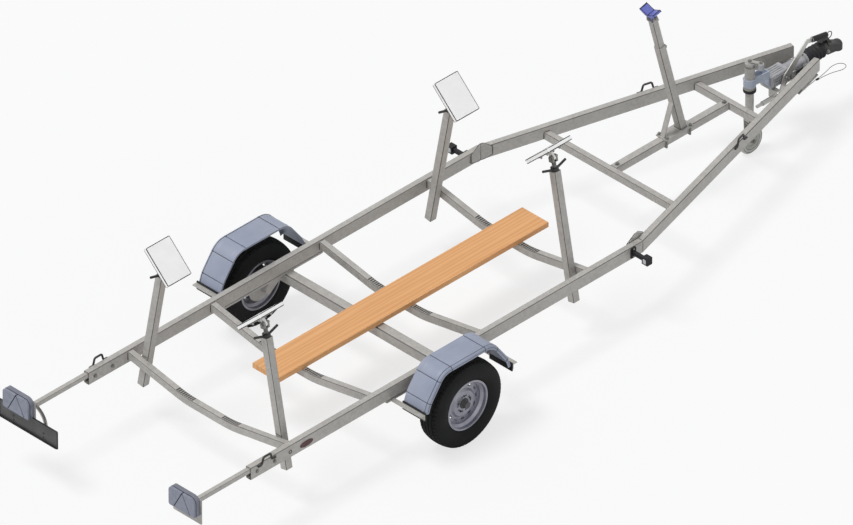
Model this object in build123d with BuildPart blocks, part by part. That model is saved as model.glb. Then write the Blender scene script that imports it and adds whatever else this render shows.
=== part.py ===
from build123d import *
import os
from math import atan, cos, degrees, hypot, pi, radians, sin, sqrt, tan

os.makedirs("parts", exist_ok=True)

# Boat trailer, millimetres. +X runs forward to the coupling, +Y to the left, +Z up from the ground.
# The origin is on the ground, midway between the lamps' faces and the coupling's nose.
# Heights named *_z are above the ground, *_ahead and *_behind are measured from the wheel axle, and *_back
# is measured rearwards from the ends of the drawbar arms.

# overall reaches
lamp_reach = 2440            # wheel axle back to the lamps' faces
arm_tip_ahead = 4337         # wheel axle forward to the ends of the drawbar arms
nose_overhang = 353          # arms' ends forward to the coupling's nose
axle_x = (lamp_reach - arm_tip_ahead - nose_overhang) / 2
arm_tip_x = axle_x + arm_tip_ahead
nose_x = arm_tip_x + nose_overhang

# clearances
running_gap = 0.3            # round pieces that turn or slide in each other
moving_gap = 6               # between pieces that pass each other
weld_depth = 1.5             # how far a welded rod or tube sinks into its plate

# rails and drawbar arms: one box section
frame_width = 1600
rail_width = 50
rail_height = 100
rail_wall = 3
rail_corner = 8
rail_bottom_z = 481
rail_rear_behind = 1790
kink_ahead = 1942            # where the outer faces turn inwards
arm_tip_half_width = 141.5   # centreline to the outer corner of the arm's end

rail_top_z = rail_bottom_z + rail_height
rail_mid_z = rail_bottom_z + rail_height / 2
rail_outer_y = frame_width / 2
rail_inner_y = rail_outer_y - rail_width
rail_y = rail_outer_y - rail_width / 2
rail_rear_x = axle_x - rail_rear_behind
kink_x = axle_x + kink_ahead
arm_angle = degrees(atan((rail_outer_y - arm_tip_half_width) / (arm_tip_x - kink_x)))
arm_length = (arm_tip_x - kink_x) / cos(radians(arm_angle))    # along the arm's outer face
kink_shift = rail_width / 2 * tan(radians(arm_angle / 2))

# plates inside the kinks
kink_plate_length = 95
kink_plate_rise = 44
kink_plate_thickness = 6
kink_plate_hole = 14
kink_hole_inset = 22         # hole below the plate's peak

# cross-bars
bar_width = 50
bar_height = 60
bar_wall = 3
bar_corner = 7
cradle_bars_ahead = [-1400, -618, 417, 1447]
cradle_top_below_rail = 7
cradle_drop = 100
cradle_bend_y = 220
cradle_bend_radius = 800     # of the bar's middle line
crush_ribs = 9               # pressed grooves across the top of each bend
crush_groove_radius = 8
crush_groove_depth = 1.6
rear_arm_bar_from_kink = 501
front_arm_bar_back = 750
arm_bars_x = [kink_x + rear_arm_bar_from_kink, arm_tip_x - front_arm_bar_back]

# centre beam and keel plank
beam_size = 60
plank_width = 254
plank_thickness = 40
plank_rear_behind = 862
plank_front_ahead = 1713
plank_edge = 3

cradle_top_z = rail_top_z - cradle_top_below_rail
cradle_floor_z = cradle_top_z - cradle_drop
beam_top_z = rail_bottom_z + beam_size
beam_rear_x = arm_bars_x[0] + bar_width / 2
beam_front_x = arm_bars_x[1] - bar_width / 2

# hull supports
post_size = 60
post_wall = 3
post_corner = 7
post_foot_y = 687
post_foot_z = 304
post_length = 1002
post_lean = 10.65
spindle_diameter = 32
spindle_out = 100            # post's top to the pad's pivot
spindle_in = 300             # spindle inside the post
nut_height = 26
nut_diameter = 58
nut_bar_length = 217
nut_bar_diameter = 18
pad_length = 220
pad_width = 297
pad_thickness = 30
pad_tilt = 44
pad_rise = 45                # pivot to the pad's underside
pad_lug_width = 16
pad_lug_radius = 20
pad_corner = 6
post_cap = 6                 # plate in the post's top that guides the spindle
fork_crown = 4               # spindle fork's web below the pad's lug
fork_width = 50
pivot_pin_diameter = 14
post_ahead = {
    "rear": cradle_bars_ahead[0] + (bar_width + post_size) / 2,
    "front": cradle_bars_ahead[3] - (bar_width + post_size) / 2,
}

# wheels
tyre_diameter = 650
tyre_width = 185
wheel_beside_rail = 190      # wheel's middle outboard of the rail's outer face
rim_seat_diameter = 356
rim_flange_diameter = 376
rim_well_diameter = 320
rim_width = 146
rim_wall = 4
disc_offset = 30             # disc's mounting face outboard of the wheel's centre
disc_wall = 5
disc_radius = 92
disc_bore = 66
disc_hole_circle = 118
disc_holes = 10
disc_hole_diameter = 15
disc_slots = 12
disc_slot_length = 34
disc_slot_width = 16
disc_dish = 14               # disc's edge steps back from its mounting face
seat_run = 26                # rim's edge in to the end of the bead seat
well_run = 42                # rim's edge in to the drop centre
hub_radius = 45
hub_reach = 84               # hub's inner end inboard of the mounting face
cap_radius = 29
cap_height = 42
drum_diameter = 250
drum_depth = 66
drum_set_back = 28           # drum's web inboard of the mounting face
stub_diameter = 40
stub_reach = 14              # stub axle's end beyond the mounting face

wheel_z = tyre_diameter / 2
wheel_y = rail_outer_y + wheel_beside_rail
mount_y = wheel_y + disc_offset

# axle
axle_beam_size = 80
axle_beam_wall = 5
axle_beam_corner = 13
axle_beam_ahead = 106
arm_plate = 45
hub_to_arm = 51              # hub's inner end inboard to the suspension arm
arm_root_radius = 46
arm_end_radius = 34
shoe_height = 16
shoe_rear_behind = 508
shoe_front_ahead = 425
brake_plate_diameter = 236
brake_plate_thickness = 4

axle_beam_z = rail_bottom_z - shoe_height - axle_beam_size / 2
axle_beam_half_length = mount_y - hub_reach - hub_to_arm - arm_plate

# mudguards
guard_beside_rail = 78       # guard's inner edge outboard of the rail's outer face
guard_width = 216
guard_top_z = 746
guard_end_z = 480
guard_wall = 4
guard_lip = 32
guard_roll = 18
guard_bend_radius = 140
guard_low_radius = 250
guard_top_half = 241
guard_knee_half = 384
guard_knee_z = 552
guard_end_half = 408
guard_centre_ahead = -21
guard_strip_thickness = 10
guard_strip_drop = 66
guard_strip_lap = 12         # strip up behind the guard's end
guard_bar_size = 40
guard_bar_wall = 5

guard_inner_y = rail_outer_y + guard_beside_rail

# rear end
lamp_bar_size = 35
lamp_bar_wall = 3
lamp_bar_z = 554
lamp_bar_hidden = 420        # lamp bar inside the rail
bar_bolt_diameter = 12
bar_bolts_behind = [1733, 1570]
lamp_bar_corner = 4
lamp_width = 244
lamp_height = 149
lamp_depth = 53
lamp_corners = [46, 2, 16, 26]    # corner radii: top right, bottom right, bottom left, top left, from behind
lamp_edge = 8
lamp_y = 794
lamp_z = 632
lamp_plate_width = 273
lamp_plate_height = 200
lamp_plate_bottom_z = 482
lamp_plate_thickness = 4
board_inner_y = 442
board_width = 560
board_bottom_z = 406
board_height = 146
board_thickness = 5
hoop_radius = 150
hoop_tube = 25
hoop_y = 722
hoop_z = 505
hoop_foot_z = 452
hoop_stud_rise = 14          # above the hoop's foot
hoop_stud_radius = 9

lamp_face_x = axle_x - lamp_reach
lamp_plate_x = lamp_face_x + lamp_depth + board_thickness

# marker lamps
marker_ahead = 1845
marker_reach = 134
marker_z = 535
marker_lens = 60
marker_lens_length = 52
marker_lens_depth = 50
marker_lens_edge = 6
marker_foot_length = 48
marker_foot_height = 84
marker_foot_thickness = 8
marker_arm_length = 28
marker_arm_height = 34
marker_arm_corner = 8

# lashing eyes
eye_bar = 15
eye_length = 165
eye_rise = 40
eye_foot_length = 34         # straight foot welded along the rail
eye_foot_drop = 14           # foot's middle below the rail's top
rear_eye_behind = 1648
front_eye_from_kink = 1308

# bow post
bow_base_rear_back = 657     # front arm bar back to the base plate's rear end
bow_base_length = 268
bow_base_width = 100
bow_base_thickness = 10
bow_post_size = 60
bow_post_wall = 4
bow_post_corner = 7
bow_post_from_base = 191     # base plate's rear end to the post's foot
bow_post_lean = 15.3
bow_post_length = 803
bow_slide_size = 50
bow_slide_out = 250
bow_slide_in = 350
bow_slide_wall = 4
bow_slide_corner = 6
brace_width = 40
brace_thickness = 10
brace_foot_from_base = 15    # base plate's rear end to the brace's foot
brace_top_z = 795
bow_head_width = 60          # between the head's ears
bow_head_wall = 6
bow_head_rise = 40           # sliding tube's top to the block's pivot
bow_ear_radius = 18
bow_block_length = 70
bow_hub_radius = 20
bow_underside = 24           # pivot to the underside of the block's arms
bow_groove_height = 34       # pivot to the bottom of the block's groove
bow_arm_half = 66
bow_arm_rise = 36
bow_arm_tip = 7              # arm's end leans out
bow_arm_thickness = 12
pin_stub = 8                 # pivot pin beyond the head's ears

# hitch
hitch_drop = 16              # spacers between the arms and the plate below them
hitch_plate_thickness = 8
hitch_plate_rear_back = 277
hitch_plate_front_back = 19
hitch_spacer_length = 190
hitch_hole_back = 116
hitch_hole_y = 78
hitch_hole_diameter = 20
housing_rear_back = 387
housing_front_back = 217
housing_half_width = 55
housing_top_z = 572
housing_corner = 16
housing_ribs = 4             # ribs along each side of the housing, and along its top
housing_rib_pitch = 20
housing_rib_width = 9
housing_rib_rise = 4
housing_rib_inset = 30       # housing's ends to the ribs' ends
saddles_back = [167, 47]
saddle_length = 40
draw_z = 516
draw_diameter = 60
draw_wall = 8
draw_rear_back = 277
bearing_diameter = 90
bearing_collar = 98
bearing_collar_length = 18
bellows_rear_back = 7
bellows_diameter = 120
bellows_length = 170
bellows_folds = 5
bellows_fold_depth = 13
bellows_wall = 4
overrun_stroke = 80
head_width = 84
head_top_z = 566
head_bottom_z = 450
head_neck_diameter = 98
head_neck_length = 30
head_corner = 18
head_handle_width = 40
handle_bends = [((72, -36), 14), ((34, 32), 11), ((-44, 44), 9)]   # ahead of the neck, above the head, radius
ball_diameter = 50
ball_gap = 0.5
ball_behind_nose = 40
ball_z = 478
cup_shoulder_z = 512
cup_top_z = 526

# jockey wheel
jockey_back = 543
jockey_tube_diameter = 71
jockey_tube_bottom_z = 514
jockey_tube_top_z = 742
jockey_collar_diameter = 88
jockey_collar_height = 24
crank_cap_height = 8
crank_neck_height = 6
crank_neck_diameter = 30
crank_length = 78
crank_width = 24
crank_thickness = 8
crank_knob_drop = 48
crank_knob_diameter = 44
crank_turn = -62
jockey_leg_diameter = 60
jockey_leg_top_z = 612
jockey_leg_wall = 5
jockey_wheel_diameter = 208
jockey_wheel_width = 46
jockey_rim_diameter = 118
jockey_trail = 10            # wheel's axle ahead of the fork's pivot
jockey_fork_reach = 176      # wheel's axle below the fork's pivot
jockey_fork_plate = 6
jockey_fork_width = 44
jockey_fork_spacer_drop = 50
jockey_ear_width = 48
jockey_ear_radius = 28
jockey_ear_rise = 48
jockey_pin_diameter = 14
jockey_pin_stub = 4
clamp_z = 590
clamp_height = 60
clamp_wall = 9
clamp_root_half = 24
clamp_foot_half = 40
clamp_foot_z = 500

jockey_x = arm_tip_x - jockey_back
jockey_axle_x = jockey_x + jockey_trail
jockey_axle_z = jockey_wheel_diameter / 2
jockey_pivot_z = jockey_axle_z + jockey_fork_reach

# handbrake lever, pivoted on the housing's right side
lever_back = 255
lever_z = 521
lever_thickness = 8
lever_slot = 130             # slot in the hitch plate for the lever's tail
lever_bar_height = 34
lever_elbow = (201, 197)     # from the pivot: forward, up
lever_grip_end = (383, 165)
lever_grip_diameter = 38
lever_grip_length = 150
lever_end_radius = 12
lever_tail = (-57, -104)
lever_tail_radius = 14
lever_boss_radius = 32
lever_pin_diameter = 16
lever_pin_head = 26

# spring strut of the brake, under the housing behind the lever's tail
strut_z = 414
strut_front_back = 376       # barrel's front face, on the bracket
strut_diameter = 34
strut_length = 114
strut_neck_diameter = 24
strut_neck_length = 53
strut_rod_diameter = 12
strut_bracket_length = 40
strut_bracket_width = 75
strut_bracket_thickness = 8

# breakaway cable: a stiff steel wire from under the hitch plate, its loop closed by a crimped ferrule
cable_diameter = 4
ferrule_length = 24
ferrule_height = 10
ferrule_width = 18
ferrule_pitch = 8               # between the two strands in it

housing_side_y = housing_half_width + housing_rib_rise
lever_y = -housing_side_y - moving_gap - lever_thickness / 2


def save(piece, name):
    """Label a finished piece and write it out."""
    piece.part.label = name
    export_step(piece.part, f"parts/{name}.step")


def box_section(width, height, wall, corner):
    """Rectangular hollow section, drawn in the active sketch."""
    RectangleRounded(width, height, corner)
    RectangleRounded(width - 2 * wall, height - 2 * wall, max(corner - wall, 0.5), mode=Mode.SUBTRACT)


def facing_forward(x, y, z):
    """Plane whose normal is +X, drawn with +Y to its right and +Z up."""
    return Plane(origin=(x, y, z), x_dir=(0, 1, 0), z_dir=(1, 0, 0))


def facing_right(x, y, z):
    """Plane whose normal is -Y, drawn with +X to its right and +Z up."""
    return Plane(origin=(x, y, z), x_dir=(1, 0, 0), z_dir=(0, -1, 0))


def along_arm(side):
    """Unit vector forward along a drawbar arm."""
    return Vector(1, 0, 0).rotate(Axis.Z, -side * arm_angle)


def kink_mitre(side):
    """Plane on which a rail meets its arm, facing forward."""
    corner = (kink_x - kink_shift, side * rail_y, rail_mid_z)
    return Plane(origin=corner, x_dir=(0, 0, 1), z_dir=Vector(1, 0, 0).rotate(Axis.Z, -side * arm_angle / 2))


def arm_face(side, inset=0):
    """Plane of an arm's inner face, facing the centreline, its own x along the arm and y up."""
    corner = Vector(kink_x - 2 * kink_shift, side * rail_inner_y, rail_mid_z)
    normal = along_arm(side).rotate(Axis.Z, -side * 90)
    return Plane(origin=corner + normal * inset, x_dir=Vector(0, 0, 1).cross(normal), z_dir=normal)


sides = {"left": 1, "right": -1}

# rails: box tubes mitred at the kink, with the two bolts that carry the lamp bar across the rear end
bolt_z = lamp_bar_z - lamp_bar_size / 2 - bar_bolt_diameter / 2 - running_gap
with BuildPart() as rails:
    for side in sides.values():
        with BuildPart(mode=Mode.PRIVATE) as rail:
            with BuildSketch(facing_forward(rail_rear_x, side * rail_y, rail_mid_z)):
                box_section(rail_width, rail_height, rail_wall, rail_corner)
            extrude(amount=kink_x - rail_rear_x + rail_width)
            split(bisect_by=kink_mitre(side), keep=Keep.BOTTOM)
            for behind in bar_bolts_behind:
                with BuildSketch(facing_right(axle_x - behind, side * rail_y, bolt_z)):
                    Circle(bar_bolt_diameter / 2)
                extrude(amount=rail_width / 2 - rail_wall / 2, both=True)
        add(rail.part)
save(rails, "rails")

# drawbar arms: the same tube, from the mitre to a square end
with BuildPart() as drawbar_arms:
    for side in sides.values():
        run = along_arm(side)
        start = kink_mitre(side).origin - run * rail_width
        with BuildPart(mode=Mode.PRIVATE) as arm:
            with BuildSketch(Plane(origin=start, x_dir=run.rotate(Axis.Z, 90), z_dir=run)):
                box_section(rail_width, rail_height, rail_wall, rail_corner)
            extrude(amount=arm_length - kink_shift + rail_width)
            split(bisect_by=kink_mitre(side), keep=Keep.TOP)
        add(arm.part)
save(drawbar_arms, "drawbar_arms")

# kink plates: one leaf on the rail's inner face, peaked at the kink, mirrored onto the arm's inner face
with BuildPart() as kink_plates:
    for side in sides.values():
        with BuildPart(mode=Mode.PRIVATE) as leaf:
            with BuildSketch(Plane(origin=(kink_x, side * rail_inner_y, rail_mid_z), x_dir=(1, 0, 0),
                                   z_dir=(0, -1, 0))):
                with BuildLine():
                    Polyline(
                        (kink_plate_length / 4, rail_height / 2 + kink_plate_rise),
                        (-kink_plate_length / 5, rail_height / 2 + kink_plate_rise),
                        (-kink_plate_length, rail_height / 2 - rail_corner),
                        (-kink_plate_length, -rail_height / 4),
                        (-kink_plate_length / 3, -rail_height / 2 + rail_corner),
                        (kink_plate_length / 4, -rail_height / 2 + rail_corner),
                        close=True,
                    )
                make_face()
                with Locations((-kink_plate_hole, rail_height / 2 + kink_plate_rise - kink_hole_inset)):
                    Circle(kink_plate_hole / 2, mode=Mode.SUBTRACT)
            extrude(amount=kink_plate_thickness * side)
            split(bisect_by=kink_mitre(side), keep=Keep.BOTTOM)
            mirror(about=kink_mitre(side))
        add(leaf.part)
save(kink_plates, "kink_plates")

# cradle bars: box tubes pressed to a dip, cut square to the rails' inner faces, with pressed ribs in each bend
slope = atan(cradle_drop / (rail_inner_y - cradle_bend_y))
bend_start_y = cradle_bend_y - cradle_bend_radius * tan(slope / 2)
rib_radius = cradle_bend_radius - bar_height / 2 - crush_groove_radius + crush_groove_depth
rib_turns = [slope * rib / (crush_ribs - 1) for rib in range(crush_ribs)]
rib_places = [(bend_start_y + rib_radius * sin(turn), -rib_radius * cos(turn)) for turn in rib_turns]
for number, ahead in enumerate(cradle_bars_ahead, 1):
    end_z = cradle_top_z - bar_height / 2 / cos(slope)
    mid_z = cradle_floor_z - bar_height / 2
    spare = bar_height / 2
    with BuildPart() as cradle:
        with BuildLine(facing_forward(axle_x + ahead, 0, 0)):
            FilletPolyline(
                (-rail_inner_y - spare, end_z + spare * tan(slope)),
                (-cradle_bend_y, mid_z),
                (cradle_bend_y, mid_z),
                (rail_inner_y + spare, end_z + spare * tan(slope)),
                radius=cradle_bend_radius,
            )
        start = Vector(axle_x + ahead, -rail_inner_y - spare, end_z + spare * tan(slope))
        with BuildSketch(Plane(origin=start, x_dir=(1, 0, 0), z_dir=(0, cos(slope), -sin(slope)))):
            box_section(bar_width, bar_height, bar_wall, bar_corner)
        sweep()
        split(bisect_by=Plane.XZ.offset(rail_inner_y), keep=Keep.BOTTOM)
        split(bisect_by=Plane.XZ.offset(-rail_inner_y), keep=Keep.TOP)
        with BuildSketch(facing_forward(axle_x + ahead, 0, mid_z + cradle_bend_radius)):
            with Locations(*((way * y, z) for way in (-1, 1) for y, z in rib_places)):
                Circle(crush_groove_radius)
        extrude(amount=bar_width / 2 - bar_corner, both=True, mode=Mode.SUBTRACT)
    save(cradle, f"cradle_bar_{number}")

# straight bars between the arms, cut to the arms' inner faces, and the centre beam between them
with BuildPart() as arm_bars:
    for bar_x in arm_bars_x:
        with BuildPart(mode=Mode.PRIVATE) as arm_bar:
            with BuildSketch(facing_right(bar_x, 0, rail_bottom_z + bar_height / 2)):
                box_section(bar_width, bar_height, bar_wall, bar_corner)
            extrude(amount=rail_outer_y, both=True)
            for side in sides.values():
                split(bisect_by=arm_face(side), keep=Keep.TOP)
        add(arm_bar.part)
save(arm_bars, "arm_bars")

with BuildPart() as centre_beam:
    with BuildSketch(facing_forward(beam_rear_x, 0, rail_bottom_z + beam_size / 2)):
        box_section(beam_size, beam_size, bar_wall, bar_corner)
    extrude(amount=beam_front_x - beam_rear_x)
save(centre_beam, "centre_beam")

with BuildPart() as plank:
    with BuildSketch(facing_forward(axle_x - plank_rear_behind, 0, cradle_floor_z + plank_thickness / 2)):
        RectangleRounded(plank_width, plank_thickness, plank_edge)
    extrude(amount=plank_rear_behind + plank_front_ahead)
save(plank, "keel_plank")

# axle: beam, its shoes under the rails, and the trailing arms with stub axles and brake plates
with BuildPart() as axle_beam:
    with BuildSketch(facing_right(axle_x + axle_beam_ahead, 0, axle_beam_z)):
        box_section(axle_beam_size, axle_beam_size, axle_beam_wall, axle_beam_corner)
    extrude(amount=axle_beam_half_length, both=True)
save(axle_beam, "axle_beam")

with BuildPart() as shoes:
    for side in sides.values():
        with BuildSketch(facing_forward(axle_x - shoe_rear_behind, side * rail_y, rail_bottom_z - shoe_height / 2)):
            Rectangle(rail_width, shoe_height)
        extrude(amount=shoe_rear_behind + shoe_front_ahead)
save(shoes, "axle_shoes")

with BuildPart() as suspension_arms:
    for side in sides.values():
        arm_y = side * (axle_beam_half_length + arm_plate / 2)
        with BuildSketch(facing_right(axle_x, arm_y, wheel_z)):
            with Locations((axle_beam_ahead, axle_beam_z - wheel_z)):
                Circle(arm_root_radius)
            Circle(arm_end_radius)
            make_hull()
        extrude(amount=arm_plate / 2, both=True)
        plate_y = mount_y - drum_set_back - drum_depth - moving_gap - brake_plate_thickness
        wheel_axis = Plane(origin=(axle_x, 0, wheel_z), x_dir=(1, 0, 0), z_dir=(0, side, 0))
        with BuildSketch(wheel_axis.offset(axle_beam_half_length + arm_plate)):
            Circle(stub_diameter / 2)
        extrude(amount=mount_y + stub_reach - axle_beam_half_length - arm_plate)
        with BuildSketch(wheel_axis.offset(plate_y)):
            Circle(brake_plate_diameter / 2)
        extrude(amount=brake_plate_thickness)
save(suspension_arms, "suspension_arms")


def around_wheel(side):
    """Plane through the wheel's axis for revolved profiles: x outboard from the centreline, y the radius."""
    return Plane(origin=(axle_x, 0, wheel_z), x_dir=(0, side, 0), z_dir=(side, 0, 0))


wheel_spin = Axis((axle_x, 0, wheel_z), (0, 1, 0))

for name, side in sides.items():
    # tyre: bead, bulged sidewalls, rounded shoulders and a nearly flat crown
    seat = rim_seat_diameter / 2 + running_gap
    crown = tyre_diameter / 2
    belly = seat + 0.48 * (crown - seat)
    shoulder = crown - 10
    tread_half = tyre_width / 2 - 20
    bead_half = rim_width / 2 - rim_wall - running_gap
    bead_top = rim_flange_diameter / 2 + 2
    with BuildPart() as tyre:
        with BuildSketch(around_wheel(side)):
            with BuildLine():
                ThreePointArc((wheel_y - tread_half, shoulder), (wheel_y, crown), (wheel_y + tread_half, shoulder))
                ThreePointArc((wheel_y + tread_half, shoulder), (wheel_y + tyre_width / 2, belly),
                              (wheel_y + bead_half, bead_top))
                Polyline((wheel_y + bead_half, bead_top), (wheel_y + bead_half, seat),
                         (wheel_y - bead_half, seat), (wheel_y - bead_half, bead_top))
                ThreePointArc((wheel_y - bead_half, bead_top), (wheel_y - tyre_width / 2, belly),
                              (wheel_y - tread_half, shoulder))
            make_face()
        revolve(axis=wheel_spin)
    save(tyre, f"tyre_{name}")

    # rim: flanges, bead seats and a drop centre, with a pressed disc welded inside
    flange = rim_flange_diameter / 2
    seat = rim_seat_diameter / 2
    well = rim_well_diameter / 2
    half = rim_width / 2
    with BuildPart() as rim:
        with BuildSketch(around_wheel(side)):
            with BuildLine():
                Polyline(
                    (wheel_y - half, flange), (wheel_y - half + rim_wall, flange), (wheel_y - half + rim_wall, seat),
                    (wheel_y - half + seat_run, seat), (wheel_y - half + well_run, well),
                    (wheel_y + half - well_run, well), (wheel_y + half - seat_run, seat),
                    (wheel_y + half - rim_wall, seat), (wheel_y + half - rim_wall, flange),
                    (wheel_y + half, flange), (wheel_y + half, seat - rim_wall),
                    (wheel_y + half - seat_run + rim_wall / 2, seat - rim_wall),
                    (wheel_y + half - well_run + rim_wall / 2, well - rim_wall),
                    (wheel_y - half + well_run - rim_wall / 2, well - rim_wall),
                    (wheel_y - half + seat_run - rim_wall / 2, seat - rim_wall),
                    (wheel_y - half, seat - rim_wall),
                    close=True,
                )
            make_face()
        revolve(axis=wheel_spin)
        with BuildSketch(around_wheel(side)):
            with BuildLine():
                edge = well - rim_wall + 1
                Polyline(
                    (mount_y, disc_bore / 2), (mount_y, disc_radius), (mount_y - disc_dish, disc_radius + disc_dish),
                    (mount_y - disc_dish - rim_wall, edge), (mount_y - disc_dish - rim_wall + disc_wall, edge),
                    (mount_y - disc_dish + disc_wall, disc_radius + disc_dish + 2),
                    (mount_y + disc_wall, disc_radius + 2), (mount_y + disc_wall, disc_bore / 2),
                    close=True,
                )
            make_face()
        revolve(axis=wheel_spin)
        disc_plane = Plane(origin=(axle_x, side * (mount_y - disc_offset), wheel_z), x_dir=(1, 0, 0), z_dir=(0, side, 0))
        with BuildSketch(disc_plane):
            with PolarLocations(disc_hole_circle / 2, disc_holes):
                Circle(disc_hole_diameter / 2)
            with PolarLocations((disc_radius + well) / 2 + 4, disc_slots):
                SlotOverall(disc_slot_length, disc_slot_width, rotation=90)
        extrude(amount=2 * disc_offset, mode=Mode.SUBTRACT)
    save(rim, f"rim_{name}")

    # hub: brake drum open inboard, bearing hub round the stub axle, grease cap through the disc
    with BuildPart() as hub:
        with BuildSketch(around_wheel(side)):
            with BuildLine():
                bore = stub_diameter / 2 + running_gap
                drum = drum_diameter / 2
                web = mount_y - drum_set_back
                Polyline(
                    (mount_y - hub_reach, bore), (mount_y - hub_reach, hub_radius), (web - 8, hub_radius),
                    (web - 8, drum - 8), (web - drum_depth, drum - 8), (web - drum_depth, drum),
                    (web, drum), (web, disc_radius - 10), (mount_y, disc_radius - 16),
                    (mount_y, disc_bore / 2 - 1), (mount_y + 10, disc_bore / 2 - 1),
                    (mount_y + 10, cap_radius), (mount_y + cap_height, cap_radius - 4), (mount_y + cap_height, 0),
                    (mount_y + cap_height - 6, 0), (mount_y + stub_reach + moving_gap, bore),
                    close=True,
                )
            make_face()
        revolve(axis=wheel_spin)
    save(hub, f"hub_{name}")

# mudguards: a rolled-edge section swept over the wheel
for name, side in sides.items():
    mid_x = axle_x + guard_centre_ahead
    outer_y = guard_inner_y + guard_width
    with BuildPart() as guard:
        with BuildLine(Plane(origin=(mid_x, side * guard_inner_y, 0), x_dir=(1, 0, 0), z_dir=(0, -1, 0))) as arch:
            FilletPolyline(
                (-guard_end_half, guard_end_z), (-guard_knee_half, guard_knee_z), (-guard_top_half, guard_top_z),
                (guard_top_half, guard_top_z), (guard_knee_half, guard_knee_z), (guard_end_half, guard_end_z),
                radius=[guard_low_radius, guard_bend_radius, guard_bend_radius, guard_low_radius],
            )
        foot = arch.line @ 0
        with BuildSketch(Plane(origin=foot, x_dir=(0, side, 0), z_dir=arch.line % 0)):
            down = -side
            with BuildLine():
                Polyline(
                    (0, down * guard_lip / 2), (0, 0), (guard_width - guard_roll, 0),
                    (guard_width, down * guard_roll), (guard_width, down * guard_lip),
                    (guard_width - guard_wall, down * guard_lip),
                    (guard_width - guard_wall, down * (guard_roll + 1)),
                    (guard_width - guard_roll - 1, down * guard_wall), (guard_wall, down * guard_wall),
                    (guard_wall, down * guard_lip / 2),
                    close=True,
                )
            make_face()
        sweep()
    save(guard, f"mudguard_{name}")

# mudguards' end strips, and the angle bars that carry each guard's ends from the rail
guard_ends = {"rear": -1, "front": 1}
with BuildPart() as guard_strips:
    for side in sides.values():
        for end in guard_ends.values():
            strip_x = axle_x + guard_centre_ahead + end * (guard_end_half + guard_strip_thickness / 2 + running_gap)
            strip_y = side * (guard_inner_y + guard_width / 2)
            with Locations((strip_x, strip_y, guard_end_z - guard_strip_drop / 2 + guard_strip_lap)):
                Box(guard_strip_thickness, guard_width, guard_strip_drop)
save(guard_strips, "guard_strips")

with BuildPart() as guard_bars:
    for side in sides.values():
        for end in guard_ends.values():
            heel_x = axle_x + guard_centre_ahead + end * (guard_end_half + guard_strip_thickness + 2 * running_gap)
            with BuildSketch(facing_right(heel_x, side * rail_outer_y, rail_bottom_z)):
                with BuildLine():
                    Polyline(
                        (0, 0), (end * guard_bar_size, 0), (end * guard_bar_size, -guard_bar_wall),
                        (end * guard_bar_wall, -guard_bar_wall), (end * guard_bar_wall, -guard_bar_size),
                        (0, -guard_bar_size),
                        close=True,
                    )
                make_face()
            extrude(amount=-side * (guard_inner_y + guard_width - rail_outer_y))
save(guard_bars, "guard_bars")

# posts, their nut bars, screw spindles and tilting pads, all in one leaning frame per post


def post_plane(end, side):
    """Plane at a post's foot: z up the post, x forward, y to the left."""
    foot = (axle_x + post_ahead[end], side * post_foot_y, post_foot_z)
    return Plane(origin=foot, x_dir=(1, 0, 0), z_dir=Vector(0, 0, 1).rotate(Axis.X, side * post_lean))


def pad_plane(end, side):
    """Plane at a pad's pivot: z square to the pad, x forward."""
    pivot = post_plane(end, side).offset(post_length + spindle_out).origin
    return Plane(origin=pivot, x_dir=(1, 0, 0), z_dir=Vector(0, 0, 1).rotate(Axis.X, side * pad_tilt))


with BuildPart() as posts:
    for end in post_ahead:
        for side in sides.values():
            with BuildSketch(post_plane(end, side)):
                box_section(post_size, post_size, post_wall, post_corner)
            extrude(amount=post_length)
            with BuildSketch(post_plane(end, side).offset(post_length - post_cap)):
                RectangleRounded(post_size - 2 * post_wall, post_size - 2 * post_wall, post_corner - post_wall)
                Circle(spindle_diameter / 2 + running_gap, mode=Mode.SUBTRACT)
            extrude(amount=post_cap)
save(posts, "pad_posts")

with BuildPart() as nut_bars:
    for end in post_ahead:
        for side in sides.values():
            top = post_plane(end, side).offset(post_length)
            with BuildSketch(top):
                Circle(nut_diameter / 2)
                Circle(spindle_diameter / 2 + running_gap, mode=Mode.SUBTRACT)
            extrude(amount=nut_height)
            for way in (-1, 1):
                grip = top.offset(nut_height / 2)
                root = grip.from_local_coords((way * (nut_diameter / 2 - 4), 0, 0))
                tip = grip.from_local_coords((way * nut_bar_length / 2, 0, nut_height))
                with BuildSketch(Plane(origin=root, z_dir=tip - root)):
                    Circle(nut_bar_diameter / 2)
                extrude(amount=(tip - root).length)
save(nut_bars, "nut_bars")

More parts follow.
